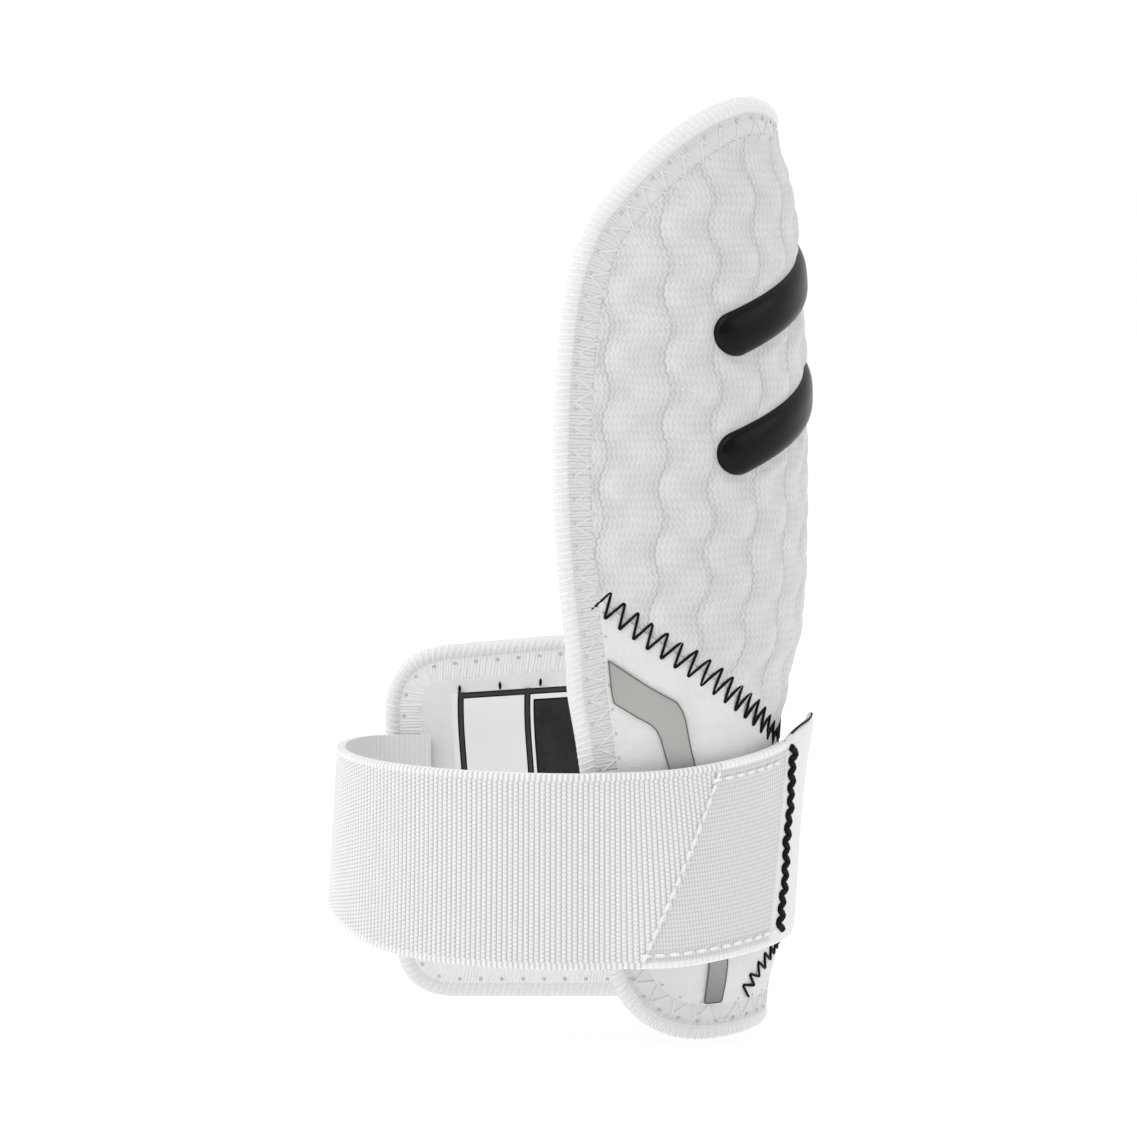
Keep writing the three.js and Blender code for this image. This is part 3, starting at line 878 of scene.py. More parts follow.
def winding_tree():
    entry, curve = new_tree("wound_thread", ["Pitch", "Bead radius", "Thread radius", "Slant", "Dip"])
    slant = spread(entry, entry.out("Slant") * 0.7, entry.out("Slant") * 1.3, seed=7)
    turned = tilted(entry, axes_of(entry), (0, 1, 0), slant)
    sockets = {"Resolution": ARC_POINTS, 4: entry.out("Bead radius"), 5: ARC_FROM, 6: ARC_SWEEP}
    arc = entry.node("GeometryNodeCurveArc", {"mode": "RADIUS"}, sockets)
    thread = tube(entry, arc, entry.out("Thread radius"), THREAD_SIDES)
    size = 1 - (entry.node("GeometryNodeInputIndex") * 0.5).fraction() * 2.0 * entry.out("Dip")
    stretch = entry.node("ShaderNodeCombineXYZ", None, {0: size, 1: size, 2: 1.0})
    return end_tree(entry, set_on(entry, beads_along(entry, curve), thread, turned, stretch))


winding_sizes = {
    "Pitch": WIND_PITCH,
    "Bead radius": 1.78,
    "Thread radius": 0.34,
    "Slant": 0.2,
    "Dip": 0.06,
}
sew("wound_thread", edge_frame(BEAD_AT, 0.0), winding_tree(), winding_sizes, white_thread,
    "overlock_edge", closed=True)

# %% [markdown]
# ## Threads on the strip
# From the bead the threads run on across the flat strip to its inner border, on both faces, and no two
# reach equally far. Each is a short straight tube, set on the edge as the rings are. Its thickness varies
# too, because two equal threads that cross would lie in one plane and spoil each other's shading.

# %% The cross threads' tree
CROSS_FROM = 3.3
CROSS_OFF = 1.46


def cross_tree():
    entry, curve = new_tree("cross_threads", ["Pitch", "Reach", "Thread radius", "Slant", "Flatness"])
    end = entry.node("ShaderNodeCombineXYZ", None, {0: entry.out("Reach")})
    line = entry.node("GeometryNodeCurvePrimitiveLine", None, {"End": end})
    thread = tube(entry, line, entry.out("Thread radius"), THREAD_SIDES)
    slant = spread(entry, entry.out("Slant") * -1, entry.out("Slant"), seed=3)
    turned = tilted(entry, axes_of(entry), (0, 1, 0), slant)
    thickness = entry.out("Flatness") * spread(entry, 0.75, 1.25, seed=6)
    sockets = {0: spread(entry, 0.88, 1.05, seed=4), 1: thickness, 2: 1.0}
    stretch = entry.node("ShaderNodeCombineXYZ", None, sockets)
    return end_tree(entry, set_on(entry, beads_along(entry, curve), thread, turned, stretch))


def uneven(vectors, amount):
    step = np.arange(len(vectors))[:, None]
    return vectors * (1 + amount * np.sin(step * 0.9) * np.cos(step * 0.37))


def edge_paths(name, places, amount=0.0):
    courses = [edge_frame(depth, side * off) for depth, off, side in places]
    inwards = [uneven(course[1], amount) for course in courses]
    outwards = [course[2] * side for course, (_, _, side) in zip(courses, places)]
    return path_object(name, [course[0] for course in courses], True, inwards, outwards)


cross_sizes = {"Pitch": WIND_PITCH, "Reach": 4.7, "Thread radius": 0.4, "Flatness": 0.6}
crossing = cross_tree()
# the outer cross threads take the strip's painted shade, the inner ones the inner face's painted light
for name, side, finish, slant in (("outer", 1, strip_thread_painted_shade, 0.06), ("inner", -1, inner_thread_painted_light, 0.03)):
    cross_path = edge_paths("cross_threads_" + name, [(CROSS_FROM, CROSS_OFF, side)])
    grow(cross_path, crossing, {**cross_sizes, "Slant": slant}, finish, "overlock_edge")

# %% [markdown]
# ## Looper zigzag
# On the outer face a looper thread lies over the strip in a long zigzag. Its tree moves every other point
# of a line to one side, rounds the corners as thread does, and makes a tube. The sideways vectors are made
# a little uneven first, so that no two teeth are equally wide.

# %% The zigzag tree
LOOP_PITCH = 4.8
LOOPER_AT = 6.2
LOOPER_OFF = 1.52
LOOPER_UNEVEN = 0.3
TOOTH_ROUND = 0.6
ZIGZAG_SIDES = 6


def zigzag_tree():
    entry, curve = new_tree("zigzag", ["Pitch", "Width", "Thread radius"])
    sockets = {"Curve": curve, "Length": entry.out("Pitch") * 0.5}
    points = entry.node("GeometryNodeResampleCurve", {"mode": "LENGTH"}, sockets)
    side = (entry.node("GeometryNodeInputIndex") * 0.5).fraction() * 2.0 - 0.5
    sockets = {0: vector(entry, "inward"), "Scale": side * entry.out("Width")}
    offset = entry.node("ShaderNodeVectorMath", {"operation": "SCALE"}, sockets)
    moved = entry.node("GeometryNodeSetPosition", None, {"Geometry": points, "Offset": offset})
    bow = entry.out("Thread radius") * TOOTH_ROUND
    sockets = {"Curve": moved, "Count": 3, "Radius": bow, "Limit Radius": True}
    rounded = entry.node("GeometryNodeFilletCurve", {"mode": "POLY"}, sockets)
    return end_tree(entry, tube(entry, rounded, entry.out("Thread radius"), ZIGZAG_SIDES))


zigzag = zigzag_tree()
looper_path = edge_paths("looper_threads", [(LOOPER_AT, LOOPER_OFF, 1)], LOOPER_UNEVEN)
looper_sizes = {"Pitch": LOOP_PITCH, "Width": 3.7, "Thread radius": 0.25}
# painted shade: the looper thread is a darker copy of the white thread
grow(looper_path, zigzag, looper_sizes, looper_thread_painted_shade, "overlock_edge")

# %% [markdown]
# ## Needle dents and grains
# Where the needle pulls the thread into the cloth there is a small dent, and a flattened grey ball in it
# is painted shade. A plain stitch shows as a grain of thread. Both are one flattened ball, so one tree
# with three sizes makes either.

# %% The grain tree
NEEDLE_PITCH = 4.4
LOOPER_DENT_OFF = 1.68
NEEDLE_DENT_OFF = 1.62


def grain_tree():
    sizes = ["Pitch", "Width", "Height", "Length"]
    entry, curve = new_tree("grains", sizes)
    ball = entry.node("GeometryNodeMeshUVSphere", None, {"Segments": 8, "Rings": 5, "Radius": 0.5})
    scale = entry.node("ShaderNodeCombineXYZ", None, {k: entry.out(n) for k, n in enumerate(sizes[1:])})
    grain = entry.node("GeometryNodeTransform", None, {"Geometry": ball, "Scale": scale})
    turned = tilted(entry, axes_of(entry), (0, 1, 0), spread(entry, -0.1, 0.1, seed=5))
    return end_tree(entry, set_on(entry, beads_along(entry, curve), grain, turned))


grains = grain_tree()
dent_sizes = {"Width": 0.8, "Height": 0.34, "Length": 0.9}
# painted shade: grey balls in the needle dents and at the looper's inner corners
dent_rows = {
    "looper_dents": (LOOP_PITCH, [(STRIP_END, LOOPER_DENT_OFF, 1)]),
    "needle_dents": (NEEDLE_PITCH, [(GROOVE_AT, NEEDLE_DENT_OFF, side) for side in (1, -1)]),
}
for name, (pitch, places) in dent_rows.items():
    sizes = {**dent_sizes, "Pitch": pitch}
    grow(edge_paths(name, places), grains, sizes, needle_dent, "overlock_edge")

# %% [markdown]
# ## Woven elastic
# The strap is stretched elastic: covered rubber threads make upright ribs, and the weft shows as small
# knuckles on them that step half a knuckle from rib to rib. Beyond the slanted row of stitches the hook
# fabric behind holds the elastic, so it is slack there and its ribs stand closer.

# %% The elastic's measures
KNUCKLE = 0.85
RIB_PITCH = 1.05
RIB_LOOSE = 0.56
STRAP_WIDTH = 38.6
SELVEDGE = 1.3
BACK_MAP = 100.0
print("strap width, mm:", STRAP_WIDTH, "and its ribs stand apart by", RIB_PITCH)

# %% [markdown]
# ## The strap on the wall
# Along the near wall the strap lies a little off the loop panel. A place on it is given by "along" and by
# its share of the strap's width, from the lower rim to the upper one. Towards the folded end the upper
# part flares outwards.

# %% The strap on the wall
STRAP_OFF = 6.3
STRAP_HALF = 0.8
STRAP_LEVEL = 48.0
STRAP_WALL = np.array([
    # along, top, low
    (-51, 56.0, 17.2),
    (-37, 56.6, 17.8),
    (-23, 58.2, 19.2),
    (-8, 60.2, 20.4),
    (2, 61.6, 21.0),
])
TAB_FLARE = 2.6
FLARE_FROM = -14.0
TAB_TO = 1.5
STRAP_LEAN = 3.0
LEAN_FROM = 30.0
LEAN_TO = 50.0
NUDGE = 0.01


def on_wall(along, share):
    along, share = np.broadcast_arrays(np.asarray(along, float), share)
    flare = TAB_FLARE * ease(along, FLARE_FROM, TAB_TO) * np.maximum(share, 0) ** 3
    lean = STRAP_LEAN * ease(-along, LEAN_FROM, LEAN_TO) * (1 - share)
    place = bend(along, STRAP_LEVEL, STRAP_OFF + flare - lean)
    top = smooth(STRAP_WALL, 1, along)
    low = smooth(STRAP_WALL, 2, along)
    place[..., 2] = between(low, top, share)
    return place


def off_wall(along, share, off):
    ahead = on_wall(along + NUDGE, share) - on_wall(along - NUDGE, share)
    up = on_wall(along, share + NUDGE) - on_wall(along, share - NUDGE)
    normal = np.cross(ahead, up)
    normal /= np.linalg.norm(normal, axis=-1, keepdims=True)
    return on_wall(along, share) + normal * np.asarray(off)[..., None]


print("strap's upper rim at the folded end, mm:", on_wall(TAB_TO, 1.0).round(1))

# %% [markdown]
# ## The strap's free course
# The strap leaves the wing's inner face, turns in front of the palm and meets the near wall. Its upper and
# lower rims follow slightly different courses, so each line across its width is worked out on its own.

# %% The strap's free course
FRONT_X = 3.0
SEWN_X = -28.3
LEAVES_X = -37.5
WING_Y = 22.8
WING_LOW = 17.4
WING_TOP = 55.6
TURN_LOW = np.array([-48.4, 12.0, 22.6])
TURN_TOP = np.array([-46.0, 6.0, 56.0])
TURN_POWER = 7
TURN_POINTS = 60


def wall_start():
    level = np.array(STRAP_LEVEL)
    radius = (smooth(FORM, FAR, level) - smooth(FORM, NEAR, level)) / 2
    return -(radius * np.pi / 2 + smooth(FORM, BACK, level) - radius - FRONT_X)


def strap_line(share):
    turn = between(TURN_LOW, TURN_TOP, share)
    height = between(WING_LOW, WING_TOP, share)
    first = on_wall(wall_start(), share) - PLACE
    angle = np.linspace(0, np.pi / 2, TURN_POINTS)
    sine, cosine = np.sin(angle), np.cos(angle)
    sewn = np.array([(SEWN_X, WING_Y, height)])
    corner = np.stack([
        LEAVES_X + (turn[0] - LEAVES_X) * sine,
        turn[1] + (WING_Y - turn[1]) * cosine,
        height + (turn[2] - height) * sine**2,
    ], axis=1)
    front = np.stack([
        first[0] + (turn[0] - first[0]) * cosine,
        turn[1] + (first[1] - turn[1]) * sine,
        first[2] + (turn[2] - first[2]) * cosine**TURN_POWER,
    ], axis=1)
    return np.vstack([sewn, corner, front[1:]]) + PLACE


print("free length along the middle, mm:", len(spaced(strap_line(0.5), 1.0)))

# %% [markdown]
# ## The strap
# Ribs stand square to the strap, which climbs a little along the wall, so they lean there by the same
# angle. Points are set along the middle line at a quarter of a rib, and each row across the width finds
# its own place from them. The outer face is woven in relief, and the back needs only a few rows.

# %% The strap's grid
RIB_POINTS = 4
KNUCKLE_POINTS = 3
WALL_LEAN = 0.11
WALL_POINTS = 300
LEAN_EASE = (2.0, 26.0)
END_ALONG = -4.5
END_TILT = 10.0
END_EASE = 15.0
DIAGONAL_LOW = -40.6
DIAGONAL_TOP = -27.5
BACK_ROWS = 6


def wall_along(middle, share):
    ended = ease(middle, END_ALONG - END_EASE, END_ALONG)
    leaning = ease(middle, wall_start() + LEAN_EASE[0], wall_start() + LEAN_EASE[1])
    lean = WALL_LEAN * STRAP_WIDTH * leaning * (1 - ended)
    return middle + (share - 0.5) * (END_TILT * ended - lean)


def length_of(line):
    return np.concatenate([[0], np.cumsum(np.linalg.norm(np.diff(line, axis=0), axis=1))])


free_length = length_of(strap_line(0.5))[-1]
wall_middle = np.linspace(wall_start(), END_ALONG, WALL_POINTS)
wall_length = length_of(on_wall(wall_middle, np.full(WALL_POINTS, 0.5)))
strap_length = free_length + wall_length[-1]
column_count = round(strap_length / RIB_PITCH * RIB_POINTS) + 1
run = np.linspace(0, strap_length, column_count)


def strap_grid(shares):
    held = run >= free_length
    middle = np.interp(run[held] - free_length, wall_length, wall_middle)
    rows = []
    for share in shares:
        line = strap_line(share)
        length = length_of(line)
        at = run[~held] / free_length * length[-1]
        free = np.stack([np.interp(at, length, column) for column in line.T], axis=1)
        wall = on_wall(wall_along(middle, share), np.full(len(middle), share))
        rows.append(np.vstack([free, wall]))
    return np.array(rows)


def run_at(along, share):
    reached = wall_along(wall_middle, share)
    return free_length + np.interp(along, reached, wall_length)


DIAGONAL_RUN_LOW = float(run_at(DIAGONAL_LOW, 0.0))
DIAGONAL_RUN_TOP = float(run_at(DIAGONAL_TOP, 1.0))
row_count = round(STRAP_WIDTH / KNUCKLE * KNUCKLE_POINTS) + 1
shares = np.linspace(0, 1, row_count)
back_shares = np.linspace(0, 1, BACK_ROWS)
front_grid = strap_grid(shares)
back_grid = strap_grid(back_shares)
print("strap length, mm:", round(strap_length, 1), "grid:", front_grid.shape[:2])

# %% [markdown]
# ## The elastic's finish
# The finish repeats the weave in painted shade: the gaps between ribs and knuckles are painted darker, the
# slack part is finer and is painted the same way, and a twisted selvedge runs along each rim with painted
# shade between its twists. The back is plainer, with painted shade between its ribs. Its stretch of the
# map lies a set distance higher, so one finish can tell the two faces apart.

# %% The elastic's finish
ELASTIC_LIGHT = 0.92
# the colour of the weave's painted shade
ELASTIC_PAINTED_SHADE = 0.5


def elastic_finish():
    material, tree, shader = new_finish("woven_elastic", (0.85, 0.85, 0.85), 0.75, 0.1)
    place, length, up = pattern_of(tree)
    rib = length / RIB_PITCH
    part = rib.fraction()
    # painted shade: ridge, the knuckle term and the slack weave's lines paint the gaps between ribs and
    # knuckles darker
    ridge = ((part - 0.5).size() * 2.0) ** 3.0
    step = ((rib - part) * 0.5).fraction()
    knuckle_painted_shade = (up / KNUCKLE + step).wave() ** 2.5
    coarse = ridge * (0.6 + knuckle_painted_shade * 0.4) + knuckle_painted_shade * 0.34
    fine = (length / RIB_LOOSE).wave() ** 2.0 * 0.34 + (up / KNUCKLE).wave() ** 2.0 * 0.24 + 0.3
    border = (up / STRAP_WIDTH) * (DIAGONAL_RUN_TOP - DIAGONAL_RUN_LOW) + DIAGONAL_RUN_LOW
    slack = (length - border).above(0.0)
    weave = coarse * (1 - slack) + fine * slack
    rim = (up - STRAP_WIDTH / 2).size().above(STRAP_WIDTH / 2 - SELVEDGE)
    # painted shade between the selvedge's twists, and between the back's ribs below
    rope = rib.wave() ** 2.0 * (0.8 - slack * 0.6)
    behind = up.above(BACK_MAP / 2)
    tone = (weave * (1 - rim) + rope * rim) * (1 - behind) + (rib.wave() * 0.14 + 0.12) * behind
    feed(tone.mix(grey(ELASTIC_LIGHT, COOL), grey(ELASTIC_PAINTED_SHADE, COOL)), shader, "Base Color")
    fibre = object_place(tree).noise(2600.0, 2.0)
    bump(fibre * 0.25 - tone * 0.6, shader, 0.2, 0.7)
    return material


elastic = elastic_finish()
print("finish:", elastic.name)

# %% [markdown]
# ## The strap's mesh
# Every point of the outer grid moves along its own normal by the height of the weave there. The two grids,
# their rims and their ends then make one closed skin.

# %% The strap's mesh
RIB_DEPTH = 0.42
SLACK_DEPTH = 0.22
ROPE_RISE = 0.6
STRAP_SHARP = math.radians(60)


def grid_normals(grid):
    normal = np.cross(np.gradient(grid, axis=1), np.gradient(grid, axis=0))
    return normal / np.linalg.norm(normal, axis=2, keepdims=True)


def weave_relief(length, height):
    rib = np.floor(length / RIB_PITCH)
    ridge = np.sin(np.pi * (length / RIB_PITCH - rib))
    knuckle = 0.5 - 0.5 * np.cos(2 * np.pi * (height / KNUCKLE + rib * 0.5 + 0.25))
    border = DIAGONAL_RUN_LOW + (DIAGONAL_RUN_TOP - DIAGONAL_RUN_LOW) * height / STRAP_WIDTH
    slack = length > border
    body = np.where(slack, -SLACK_DEPTH, RIB_DEPTH * (ridge * (0.45 + 0.55 * knuckle) - 1))
    rim = np.minimum(height, STRAP_WIDTH - height)
    rope = np.sqrt(np.clip(1 - ((rim - SELVEDGE / 2) / (SELVEDGE / 2)) ** 2, 0, 1))
    knots = 0.7 + 0.3 * np.where(slack, 0.6, ridge)
    return np.where(rim < SELVEDGE, ROPE_RISE * rope * knots - RIB_DEPTH, body)


def strap_mesh():
    length, height = np.meshgrid(run, shares * STRAP_WIDTH)
    relief = STRAP_HALF + weave_relief(length, height)
    front_points = front_grid + grid_normals(front_grid) * relief[..., None]
    back_points = back_grid - grid_normals(back_grid) * STRAP_HALF
    start = row_count * column_count
    front = grid_faces(row_count, column_count)
    back = grid_faces(BACK_ROWS, column_count)[:, ::-1] + start
    here = np.arange(column_count - 1)
    low = np.stack([here, start + here, start + here + 1, here + 1], axis=1)
    last = (row_count - 1) * column_count + here
    last_back = start + (BACK_ROWS - 1) * column_count + here
    top = np.stack([last, last + 1, last_back + 1, last_back], axis=1)
    faces = np.vstack([front, back, low, top]).tolist()
    for column in (0, column_count - 1):
        outer = [row * column_count + column for row in range(row_count)]
        inner = [start + row * column_count + column for row in range(BACK_ROWS)]
        cap = outer + inner[::-1]
        faces.append(cap if column == 0 else cap[::-1])
    points = np.vstack([front_points.reshape(-1, 3), back_points.reshape(-1, 3)])
    back_length, back_height = np.meshgrid(run, back_shares * STRAP_WIDTH + BACK_MAP)
    front_flat = np.stack([length.ravel(), height.ravel()], axis=1)
    back_flat = np.stack([back_length.ravel(), back_height.ravel()], axis=1)
    return points, faces, np.vstack([front_flat, back_flat])


points, faces, flat = strap_mesh()
strap = add_piece("woven_strap", points, faces, [elastic], flat, None, STRAP_SHARP)
belongs(strap, "woven_elastic", "elastic_strap")

# %% [markdown]
# ## Folded end
# The strap's end is folded in a smooth white tape, a finger's grip. It is a flat tube that follows the
# wall, softened at its rims, and its inner border slants with the stitches.

# %% The folded end
TAB_HALF = 1.15
TAB_LEFT_TOP = -11.5
TAB_LEFT_LOW = -17.5
TAB_RIGHT_TOP = TAB_TO
TAB_RIGHT_LOW = -8.0
TAB_RISE = 0.045
TAB_RISE_FROM = -14.0
TAB_RISE_TO = -6.0
TAB_ROWS = 60
TAB_RING = 36
TAB_SQUARE = 0.35
TAB_FLAT = 0.6
TAB_RIM_POWER = 16
TAB_RIM_LEAST = 0.08
TAB_SHARP = 1.0


def tape_finish(name, level, scale, depth):
    material, tree, shader = new_finish(name, (level, level, level), 0.7, 0.15)
    weave = object_place(tree).noise(scale, 3.0)
    feed(weave.mix(grey(level * 0.93, COOL), grey(level * 1.05, COOL)), shader, "Base Color")
    bump(weave, shader, depth, 0.6)
    return material


def tab_share(along, share):
    return share * (1 + TAB_RISE * ease(along, TAB_RISE_FROM, TAB_RISE_TO))


smooth_tape = tape_finish("smooth_tab", 0.84, 1400.0, 0.12)
share = np.linspace(0, 1, TAB_ROWS)[:, None]
angle = np.linspace(0, 2 * np.pi, TAB_RING, endpoint=False)[None, :]
left = between(TAB_LEFT_LOW, TAB_LEFT_TOP, share)
right = between(TAB_RIGHT_LOW, TAB_RIGHT_TOP, share)
softened = np.clip(1 - np.abs(2 * share - 1) ** TAB_RIM_POWER, TAB_RIM_LEAST, 1) ** 0.5
across = np.sign(np.cos(angle)) * np.abs(np.cos(angle)) ** TAB_SQUARE
bulge = np.sign(np.sin(angle)) * np.abs(np.sin(angle)) ** TAB_FLAT
tab_along = (left + right) / 2 + (right - left) / 2 * across
tab_points = off_wall(tab_along, tab_share(tab_along, share), TAB_HALF * bulge * softened)
tab_faces = grid_faces(TAB_ROWS, TAB_RING, False, True).tolist()
tab_faces.append(list(range(TAB_RING))[::-1])
tab_faces.append(list(range((TAB_ROWS - 1) * TAB_RING, TAB_ROWS * TAB_RING)))
tab_points = tab_points.reshape(-1, 3)
end_fold = add_piece("strap_end_fold", tab_points, tab_faces, [smooth_tape], sharp=TAB_SHARP)
belongs(end_fold, "smooth_tab", "strap_tab")

# %% [markdown]
# ## Hook fabric
# Under the strap's slack part lies a patch of hook fabric, which grips the loop panel and closes the
# guard. Only its rim shows, so a plain thin slab with a rough finish is enough.

# %% The hook fabric
HOOK_HALF = 0.5
HOOK_DEEP = -1.55
HOOK_END_TOP = -13.5
HOOK_END_LOW = -19.5
HOOK_ROWS = 30
HOOK_COLUMNS = 24
HOOK_MARGIN = 0.02
SLAB_SHARP = 0.9
hook_finish = tape_finish("hook_fabric", 0.72, 2400.0, 0.3)


def slab(place, rows, columns, low, high):
    points = np.vstack([place(high).reshape(-1, 3), place(low).reshape(-1, 3)])
    start = rows * columns
    front = grid_faces(rows, columns)
    rim = np.concatenate([
        np.arange(columns),
        np.arange(1, rows) * columns + columns - 1,
        np.arange(columns - 2, -1, -1) + (rows - 1) * columns,
        np.arange(rows - 2, 0, -1) * columns,
    ])
    after = np.roll(rim, -1)
    walls = np.stack([after, rim, rim + start, after + start], axis=1)
    return points, np.vstack([front, front[:, ::-1] + start, walls])


def hook_place(off):
    return off_wall(hook_along, hook_share, np.full_like(hook_share, off))


hook_up = np.linspace(HOOK_MARGIN, 1 - HOOK_MARGIN, HOOK_ROWS)
hook_share, hook_part = np.meshgrid(hook_up, np.linspace(0, 1, HOOK_COLUMNS), indexing="ij")
left = between(DIAGONAL_LOW, DIAGONAL_TOP, hook_share)
right = between(HOOK_END_LOW, HOOK_END_TOP, hook_share)
hook_along = between(left, right, hook_part)
points, faces = slab(hook_place, HOOK_ROWS, HOOK_COLUMNS, HOOK_DEEP - HOOK_HALF, HOOK_DEEP + HOOK_HALF)
hook = add_piece("hook_backing", points, faces, [hook_finish], sharp=SLAB_SHARP)
belongs(hook, "hook_fabric", "hook_patch")

# %% [markdown]
# ## The grey band's finish
# A grey tape lies on the near side of the loop panel. It is a warm grey that darkens towards its foot and
# turns a little olive at its head, with a faint weave. Two blends by height are enough for that.

# %% The grey band's finish
BAND_FOOT = 8.0
BAND_FOOT_FADE = 14.0
BAND_HEAD = 60.0
BAND_HEAD_FADE = 17.0
BAND_GREY = 0.47
BAND_FOOT_GREY = 0.23
BAND_HEAD_GREY = 0.4
WARM = (1.0, 0.985, 0.955)
OLIVE = (0.985, 1.02, 0.96)


def band_finish():
    material, tree, shader = new_finish("grey_tape", (0.45, 0.45, 0.44), 0.7, 0.1)
    place, _, up = pattern_of(tree)
    weave = place.noise(1.7, 3.0)
    low = (up - BAND_FOOT) / BAND_FOOT_FADE + (weave - 0.5) * 0.3
    high = (up - BAND_HEAD) / BAND_HEAD_FADE + (weave - 0.5) * 0.3
    warm = low.mix(grey(BAND_FOOT_GREY, WARM), grey(BAND_GREY, WARM))
    feed(high.mix(warm, grey(BAND_HEAD_GREY, OLIVE)), shader, "Base Color")
    bump(weave, shader, 0.12, 0.6)
    return material


warm_grey = band_finish()
print("finish:", warm_grey.name)

# %% [markdown]
# ## Grey band
# The tape turns once and runs down under the strap. It is cut from sheet, so its outline is a few straight
# lines, and it is laid on the panel's own face.

# %% The grey band
BAND_OUTLINE = np.array([
    # along, height
    (-49.8, 77.6),
    (-46.7, 69.3),
    (-39.5, 65.4),
    (-38.2, 64.2),
    (-37.3, 62.6),
    (-35.7, 57.3),
    (-26.6, 16.7),
    (-25.8, 8.2),
    (-22.1, 8.2),
    (-22.8, 16.5),
    (-31.0, 57.6),
    (-33.1, 65.5),
    (-34.0, 67.7),
    (-35.4, 69.6),
])
BAND_STEPS = (0.6, 1.5)
BAND_LIFT = 0.45
BAND_SINK = 0.1


def band_top(flat):
    return loop_outside(flat) + BAND_LIFT


def band_base(flat):
    return loop_outside(flat) - BAND_SINK


border = spaced(BAND_OUTLINE, BAND_STEPS[0], closed=True)
band = padded_panel("grey_band", border, BAND_STEPS, band_top, band_base, [warm_grey])
belongs(band, "grey_tape", "grey_tape")

# %% [markdown]
# ## The band's border
# A thin dark line borders the tape: the looper's tree with no width, which leaves a straight tube. Its
# course is a line of the flat pattern, and so are the black seams later, so one function serves them all.


# %% The band's border
def course_at(flat, off, side=1, lean=0.0):
    here = bend(*flat.T, off)
    heading = np.gradient(flat, axis=0)
    heading /= np.linalg.norm(heading, axis=1, keepdims=True)
    aside = flat + (np.stack([-heading[:, 1], heading[:, 0]], axis=1) + lean * heading) * PROBE
    outward = bend(*flat.T, off + PROBE * side) - here
    return here, (bend(*aside.T, off) - here) / PROBE, outward / PROBE


# a thin dark tube along the tape's outline, darker than the tape
dark_border_line = thread_finish("band_border", 0.2, 0.12, 0.8, 0.0)
border_sizes = {"Pitch": 1.2, "Width": 0.0, "Thread radius": 0.14}
border_course = course_at(border, band_top(border))
sew("band_border", border_course, zigzag, border_sizes, dark_border_line, "grey_tape", closed=True)

# %% [markdown]
# ## The label's finish
# A blank label is sewn inside the far wing. Its woven frame is plain: one dark stripe along the top, two
# upright ones, and a dark field behind the hand. The pattern map places them, so the frame is part of the
# cloth and turns with it.

# %% The label's finish
LABEL_TOP = 65.4
LABEL_WHITE = 0.97
LABEL_BLACK = 0.004
LABEL_SHINE = 0.045
FRAME_BAR = 1.3
FRAME_AT = (75.75, 62.05)
FIELD_TO = 60.8
FIELD_TOP = 63.1
FIELD_RIM = 0.4


def stripe(value, middle):
    return 1 - ((value - middle) * (2 / FRAME_BAR)).size()


def most(first, second):
    return first.maths("MAXIMUM", first, second)


def label_finish():
    material, tree, shader = new_finish("sewn_label", (0.85, 0.85, 0.85), 0.6, 0.1)
    place, along, up = pattern_of(tree)
    stripes = stripe(up, LABEL_TOP - FRAME_BAR / 2)
    for middle in FRAME_AT:
        stripes = most(stripes, stripe(along, middle))
    stripes = stripes * (1 - along.above(FRAME_AT[0] + FRAME_BAR / 2))
    field = (1 - along.above(FIELD_TO)) * (1 - up.above(FIELD_TOP))
    core = (1 - along.above(FIELD_TO - FIELD_RIM)) * (1 - up.above(FIELD_TOP - FIELD_RIM))
    weave = place.noise(3.0, 2.0)
    sheen = weave * 0.3 + place.noise(0.25, 2.0) * 0.7
    lit = 1 - (1 - stripes.above(0.45)) * (1 - core * sheen)
    dark = 1 - (1 - stripes.above(0.0)) * (1 - field)
    black = lit.mix(grey(LABEL_BLACK), grey(LABEL_SHINE))
    feed(dark.mix(grey(LABEL_WHITE, COOL), black), shader, "Base Color")
    bump(weave, shader, 0.08, 0.5)
    return material


label_cloth = label_finish()
print("finish:", label_cloth.name)

# %% [markdown]
# ## Sewn label
# The label is a thin slab that lies on the wing's lining, tilted a little. Its map keeps the places from
# before the tilt, so the frame stays square to the label.

# %% The label
LABEL_FROM = 40.0
LABEL_TO = 77.6
LABEL_LOW = 26.8
LABEL_TILT = -0.065
LABEL_COLUMNS = 40
LABEL_ROWS = 24
LABEL_BACK = 0.1
LABEL_FRONT = 0.7


def rotated(flat, tilt):
    cosine, sine = math.cos(tilt), math.sin(tilt)
    return flat @ np.array([(cosine, sine), (-sine, cosine)])


def label_place(off):
    return bend(*label_flat.T, lining_face(label_flat) - off)


label_columns = np.linspace(LABEL_TO, LABEL_FROM, LABEL_COLUMNS)
label_rows = np.linspace(LABEL_LOW, LABEL_TOP, LABEL_ROWS)
label_map = np.stack(np.meshgrid(label_columns, label_rows), axis=-1).reshape(-1, 2)
label_middle = np.array([(LABEL_FROM + LABEL_TO) / 2, (LABEL_LOW + LABEL_TOP) / 2])
label_flat = rotated(label_map - label_middle, LABEL_TILT) + label_middle
points, faces = slab(label_place, LABEL_ROWS, LABEL_COLUMNS, LABEL_BACK, LABEL_FRONT)
both_maps = np.vstack([label_map, label_map])
label = add_piece("sewn_label", points, faces, [label_cloth], both_maps, sharp=SLAB_SHARP)
belongs(label, "sewn_label", "inner_label")

# %% [markdown]
# ## Raised bars
# The bars are moulded rubber with a domed top, fused into the pressed knit. A stadium is cut like cloth
# and its top rises steeply at the rim and gently towards the middle.

